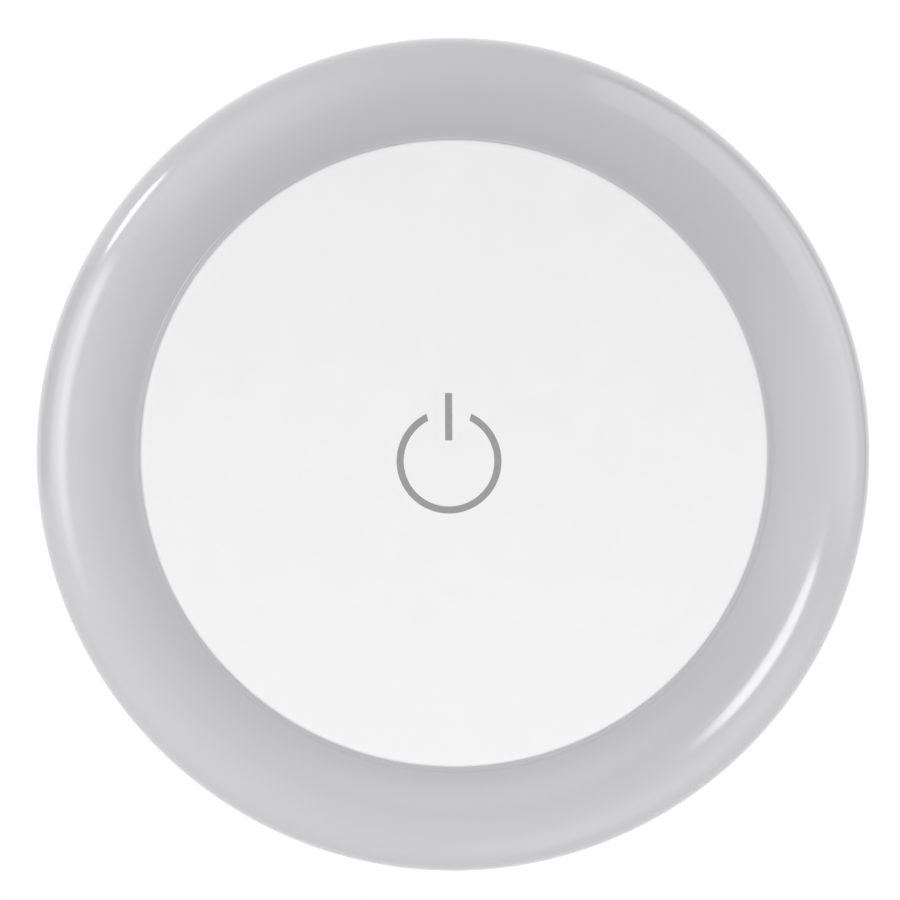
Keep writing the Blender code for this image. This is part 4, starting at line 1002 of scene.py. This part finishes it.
def blended(tree, kind, first, second):
    """Two colour sockets multiplied or added."""
    mix = add_node(tree, "ShaderNodeMix", data_type="RGBA", blend_type=kind)
    mix.inputs["Factor"].default_value = 1.0
    for socket, colour in zip(colour_sockets(mix), (first, second)):
        tree.links.new(colour, socket)
    return next(s for s in mix.outputs if s.type == "RGBA")


def paint_rim_shade(material, stops, centre):
    """Paint shade onto a piece's colour towards its rim: the painted shade of its rounded
    edge and of the gap beside it.
    """
    tree = material.node_tree
    target = tree.nodes["Principled BSDF"].inputs["Base Color"]
    painted_shade = radial_ramp(tree, grey_stops(stops), *centre)
    tree.links.new(blended(tree, "MULTIPLY", target.links[0].from_socket, painted_shade), target)


def milky(name):
    """Glossy opal plastic: a cooler tint by the disc, with painted shade there and painted light
    towards the rim for light that would scatter through the shell, and a little painted light
    right at the hole."""
    material, tree, shader = new_material(name, RING_COLOURS_AND_SHADING[-1][1], RING_ROUGHNESS)
    # Painted light at the hole, added to the ring's colour
    glow = radial_ramp(tree, grey_stops(RING_PAINTED_LIGHT), *RING_PAINTED_LIGHT_CENTRE)
    # The ring's tint with its painted shade and light, plus the painted light at the hole
    colours = blended(tree, "ADD", radial_ramp(tree, RING_COLOURS_AND_SHADING), glow)
    tree.links.new(colours, shader.inputs["Base Color"])
    shader.inputs["IOR"].default_value = RING_IOR
    add_grain(tree, shader, *RING_WAVES)
    return material


def make_materials():
    """One finish for each of the record's slots, in the record's colour unless it has its own."""
    colour = {m["slot"]: tuple(m["base_color"]) for m in frame["record"]["materials"]}
    made = {"diffuser_milky": milky("milky")}
    for slot, own, *values in PLASTICS:
        made[slot] = plastic(f"{slot}_finish", own or colour[slot], *values)
    # Painted shade on the disc's colour at its rim, for its rounded edge and the gap beside it
    paint_rim_shade(made["disc_white"], DISC_PAINTED_SHADE, DISC_PAINTED_SHADE_CENTRE)
    for slot, *values in METALS:
        made[slot] = metal(f"{slot}_finish", colour[slot], *values)
    for slot, name, *values in BOARDS:
        made[slot] = laminate(name, colour[slot], *values)
    made["led_yellow"] = phosphor("phosphor", colour["led_yellow"])
    made["capacitor_black"] = sleeved("sleeved_can", colour["capacitor_black"])
    for slot, *values in RESISTORS:
        made[slot] = ringed(f"{slot}_finish", colour[slot], *values)
    return made


MATERIALS = make_materials()

for node in frame["nodes"].values():
    slot = node.data.materials[0].name.split(".")[0]
    node.data.materials[0] = MATERIALS[slot]

make_disc()
make_symbol()
make_ring()
make_housing()
make_plug()
make_pin(-1, "left")
make_pin(1, "right")
make_spring()


# Stage: a pale floor below the light. GROUND_WHITE is the share of plain white that the camera sees
# over its own shade, at the two radii of GROUND_FADE.
GROUND_Z = -0.060
GROUND_RADIUS = 0.60
GROUND_SIDES = 96
GROUND_COLOUR = (0.86, 0.86, 0.86)
GROUND_ROUGHNESS = 0.9
GROUND_WHITE = (0.55, 1.0)
GROUND_FADE = (0.06, 0.30)


def seen_directly(tree):
    """1 for what the camera, gloss and clear pieces see, and 0 for light on surfaces."""
    path = add_node(tree, "ShaderNodeLightPath")
    either = path.outputs["Is Camera Ray"]
    for kind in ("Is Glossy Ray", "Is Transmission Ray"):
        either = combined(tree, "MAXIMUM", either, path.outputs[kind])
    return either


def make_floor():
    """A disc whose own shade shows below the light and fades to plain white around it."""
    build = bmesh.new()
    bmesh.ops.create_circle(build, cap_ends=True, segments=GROUND_SIDES, radius=GROUND_RADIUS)
    floor = new_object("floor", raw_mesh("floor", build))
    floor.location.z = GROUND_Z
    material, tree, shader = new_material("floor", GROUND_COLOUR, GROUND_ROUGHNESS)
    place = add_node(tree, "ShaderNodeTexCoord")
    length = add_node(tree, "ShaderNodeVectorMath", operation="LENGTH")
    tree.links.new(place.outputs["Object"], length.inputs[0])
    fade = between(tree, length.outputs["Value"], *GROUND_WHITE, *GROUND_FADE)
    white = add_node(tree, "ShaderNodeEmission")
    blend = add_node(tree, "ShaderNodeMixShader")
    tree.links.new(combined(tree, "MULTIPLY", seen_directly(tree), fade), blend.inputs["Fac"])
    tree.links.new(shader.outputs["BSDF"], blend.inputs[1])
    tree.links.new(white.outputs["Emission"], blend.inputs[2])
    tree.links.new(blend.outputs["Shader"], tree.nodes["Material Output"].inputs["Surface"])
    floor.data.materials.append(material)
    floor.visible_diffuse = floor.visible_glossy = floor.visible_shadow = False


# Light on the surfaces from all sides, and how much more of it comes from +X, +Y and +Z
AMBIENT = 0.60
AMBIENT_LEAN = (0.06, 0.265, 0.275)


def make_world():
    """White to the eye, and a soft light on the surfaces that is stronger from above and behind."""
    world = bpy.data.worlds.new("studio")
    world.use_nodes = True
    bpy.context.scene.world = world
    tree = world.node_tree
    background = tree.nodes["Background"]
    place = add_node(tree, "ShaderNodeTexCoord")
    lean = add_node(tree, "ShaderNodeVectorMath", operation="DOT_PRODUCT")
    lean.inputs[1].default_value = AMBIENT_LEAN
    tree.links.new(place.outputs["Generated"], lean.inputs[0])
    ambient = combined(tree, "ADD", lean.outputs["Value"], AMBIENT)
    strength = add_node(tree, "ShaderNodeMix")
    tree.links.new(seen_directly(tree), strength.inputs["Factor"])
    tree.links.new(ambient, strength.inputs["A"])
    strength.inputs["B"].default_value = 1.0
    background.inputs["Color"].default_value = (1.0, 1.0, 1.0, 1.0)
    tree.links.new(strength.outputs["Result"], background.inputs["Strength"])


# Lamps and panels stand round this point. Directions are an angle round the light and an angle
# away from its front, in degrees.
EYE = Vector((0.0, -0.036, 0.0))

# Direction, distance, size and power
LAMPS = {
    "front_lamp": (280, 25, 0.40, 0.20, 0.784),
    "left_lamp": (180, 60, 0.45, 0.25, 0.40),
}

# Each panel's reach round the light and away from its front; its strength; which share of it fades
# to plain white at its start and end and at its front and back side; whether it is oval; its
# distance, as a share of PANEL_DISTANCE, because the nearest panel hides those behind it; what is
# left of its strength at its end; and how many degrees farther from the front that end lies
PANELS = {
    "key_panel": ((307, 347.5), (53, 70), 9.8, (0.3, 0.15, 0.15, 0.17), True, 0.94),
    "rim_panel": ((134.5, 150), (99.5, 111.5), 9.5, (0.15, 0.15, 0.15, 0.15), True, 0.94),
    "left_panel": ((147, 207), (71, 102), 5.0, (0.12, 0.5, 0.35, 0.50), False, 0.97),
    "left_edge_panel": ((150, 198), (97, 107), 2.4, (0.2, 0.4, 0.0, 0.45), False, 0.96),
    "left_flag_panel": ((147.5, 188), (107, 145), 0.45, (0.2, 0.15, 0.2, 0.3), False, 0.95),
    "right_panel": ((-18, 69.5), (67.5, 122), 2.77, (0.22, 0.004, 0.01, 0.37), False, 0.97, 0.60),
    "right_edge_panel": ((5, 42), (116, 134), 1.65, (0.3, 0.3, 0.0, 0.6), False, 0.96),
    "rim_flag_panel": (
        (-14, 76), (131.5, 149.5), 0.45, (0.15, 0.15, 0.3, 0.3), False, 0.95, 0.75, -24,
    ),
    "right_fill_panel": ((-36, 40), (0, 78), 2.47, (0.3, 0.4, 0.0, 0.2), False, 1.0),
    "low_fill_panel": ((262, 344), (72, 128), 1.8, (0.3, 0.25, 0.22, 0.6), False, 1.0),
    "left_fill_panel": ((140, 220), (4, 74), 1.25, (0.3, 0.3, 0.2, 0.2), False, 1.0),
    "upper_panel": ((96, 162), (24, 104), 1.8, (0.4, 0.4, 0.4, 0.3), False, 1.03),
}
RING_MIDDLE = 0.037
PANEL_DISTANCE = 0.80
PANEL_STEPS = (24, 12)


def direction(around, away):
    a, b = math.radians(around), math.radians(away)
    return Vector((math.sin(b) * math.cos(a), -math.cos(b), math.sin(b) * math.sin(a)))


def make_lamp(name, around, away, distance, size, power):
    """A soft lamp that lights the surfaces and leaves no shape in the gloss."""
    light = bpy.data.lights.new(name, "AREA")
    light.shape = "DISK"
    light.size = size
    light.energy = power
    lamp = bpy.data.objects.new(name, light)
    bpy.context.scene.collection.objects.link(lamp)
    way = direction(around, away)
    lamp.location = EYE + distance * way
    lamp.rotation_mode = "QUATERNION"
    lamp.rotation_quaternion = way.to_track_quat("Z", "Y")
    lamp.visible_camera = False
    lamp.visible_glossy = False


def panel_mesh(name, around, away, oval, far, lean):
    """A curved sheet, with its own (u, v) from its start to its end and from front to back."""
    middle, half = (away[0] + away[1]) / 2, (away[1] - away[0]) / 2
    build = bmesh.new()
    uv = build.loops.layers.uv.new("panel")
    grid = []
    for i in range(PANEL_STEPS[0] + 1):
        u = i / PANEL_STEPS[0]
        turn = around[0] + (around[1] - around[0]) * u
        reach = half * math.sqrt(max(0.0, 1 - (2 * u - 1) ** 2)) if oval else half
        start = EYE + RING_MIDDLE * direction(turn, 90)
        row = []
        for j in range(PANEL_STEPS[1] + 1):
            v = j / PANEL_STEPS[1]
            tilt = middle + lean * u ** 2 + reach * (2 * v - 1)
            place = start + PANEL_DISTANCE * far * direction(turn, tilt)
            row.append((build.verts.new(place), (u, v)))
        grid.append(row)
    for i in range(PANEL_STEPS[0]):
        for j in range(PANEL_STEPS[1]):
            corners = [grid[i][j], grid[i + 1][j], grid[i + 1][j + 1], grid[i][j + 1]]
            face = build.faces.new([corner[0] for corner in corners])
            for loop, corner in zip(face.loops, corners):
                loop[uv].uv = corner[1]
    return raw_mesh(name, build)


def panel_light(name, strength, soft, tail):
    """Plain white light at the soft edges, and the panel's own strength inside them."""
    material = bpy.data.materials.new(name)
    material.use_nodes = True
    tree = material.node_tree
    tree.nodes.clear()
    place = add_node(tree, "ShaderNodeUVMap", uv_map="panel")
    parts = add_node(tree, "ShaderNodeSeparateXYZ")
    tree.links.new(place.outputs["UV"], parts.inputs["Vector"])
    edges = ((0, 0.0, soft[0]), (0, 1.0, -soft[1]), (1, 0.0, soft[2]), (1, 1.0, -soft[3]))
    levels = [
        between(tree, parts.outputs[axis], 0.0, 1.0, start, start + width, "SMOOTHSTEP")
        for axis, start, width in edges if width
    ]
    levels.append(between(tree, parts.outputs["X"], 1.0, tail, 0.0, 1.0))
    level = levels[0]
    for other in levels[1:]:
        level = combined(tree, "MULTIPLY", level, other)
    glow = add_node(tree, "ShaderNodeEmission")
    tree.links.new(between(tree, level, 1.0, strength, 0.0, 1.0), glow.inputs["Strength"])
    output = add_node(tree, "ShaderNodeOutputMaterial")
    tree.links.new(glow.outputs["Emission"], output.inputs["Surface"])
    return material


def make_panel(name, around, away, strength, soft, oval, far, tail=1.0, lean=0.0):
    """A curved studio panel that shows only in the gloss."""
    obj = new_object(name, panel_mesh(name, around, away, oval, far, lean))
    obj.data.materials.append(panel_light(name, strength, soft, tail))
    obj.visible_camera = obj.visible_diffuse = obj.visible_shadow = False
    obj.visible_transmission = False


def make_lights():
    for name, values in LAMPS.items():
        make_lamp(name, *values)
    for name, values in PANELS.items():
        make_panel(name, *values)


# Camera
CAMERA_DISTANCE = 1.21
CAMERA_LEFT = math.radians(0.43)
CAMERA_BELOW = math.radians(0.50)
CAMERA_TARGET = Vector((-0.00027, -0.0325, 0.00043))
CAMERA_CLIP = (0.01, 10.0)
LENS = 502.5
SENSOR = 36.0


def make_camera():
    """A long lens, a hair to the left of the light's axis and below it, as in the photo."""
    data = bpy.data.cameras.new("camera")
    data.lens = LENS
    data.sensor_width = SENSOR
    data.clip_start, data.clip_end = CAMERA_CLIP
    camera = bpy.data.objects.new("camera", data)
    bpy.context.scene.collection.objects.link(camera)
    back = Vector((-math.sin(CAMERA_LEFT), -1.0, -math.sin(CAMERA_BELOW))).normalized()
    camera.location = CAMERA_TARGET + CAMERA_DISTANCE * back
    camera.rotation_mode = "QUATERNION"
    camera.rotation_quaternion = back.to_track_quat("Z", "Y")
    bpy.context.scene.camera = camera


make_floor()
make_world()
make_lights()
make_camera()
bpy.context.scene.view_settings.view_transform = "Standard"
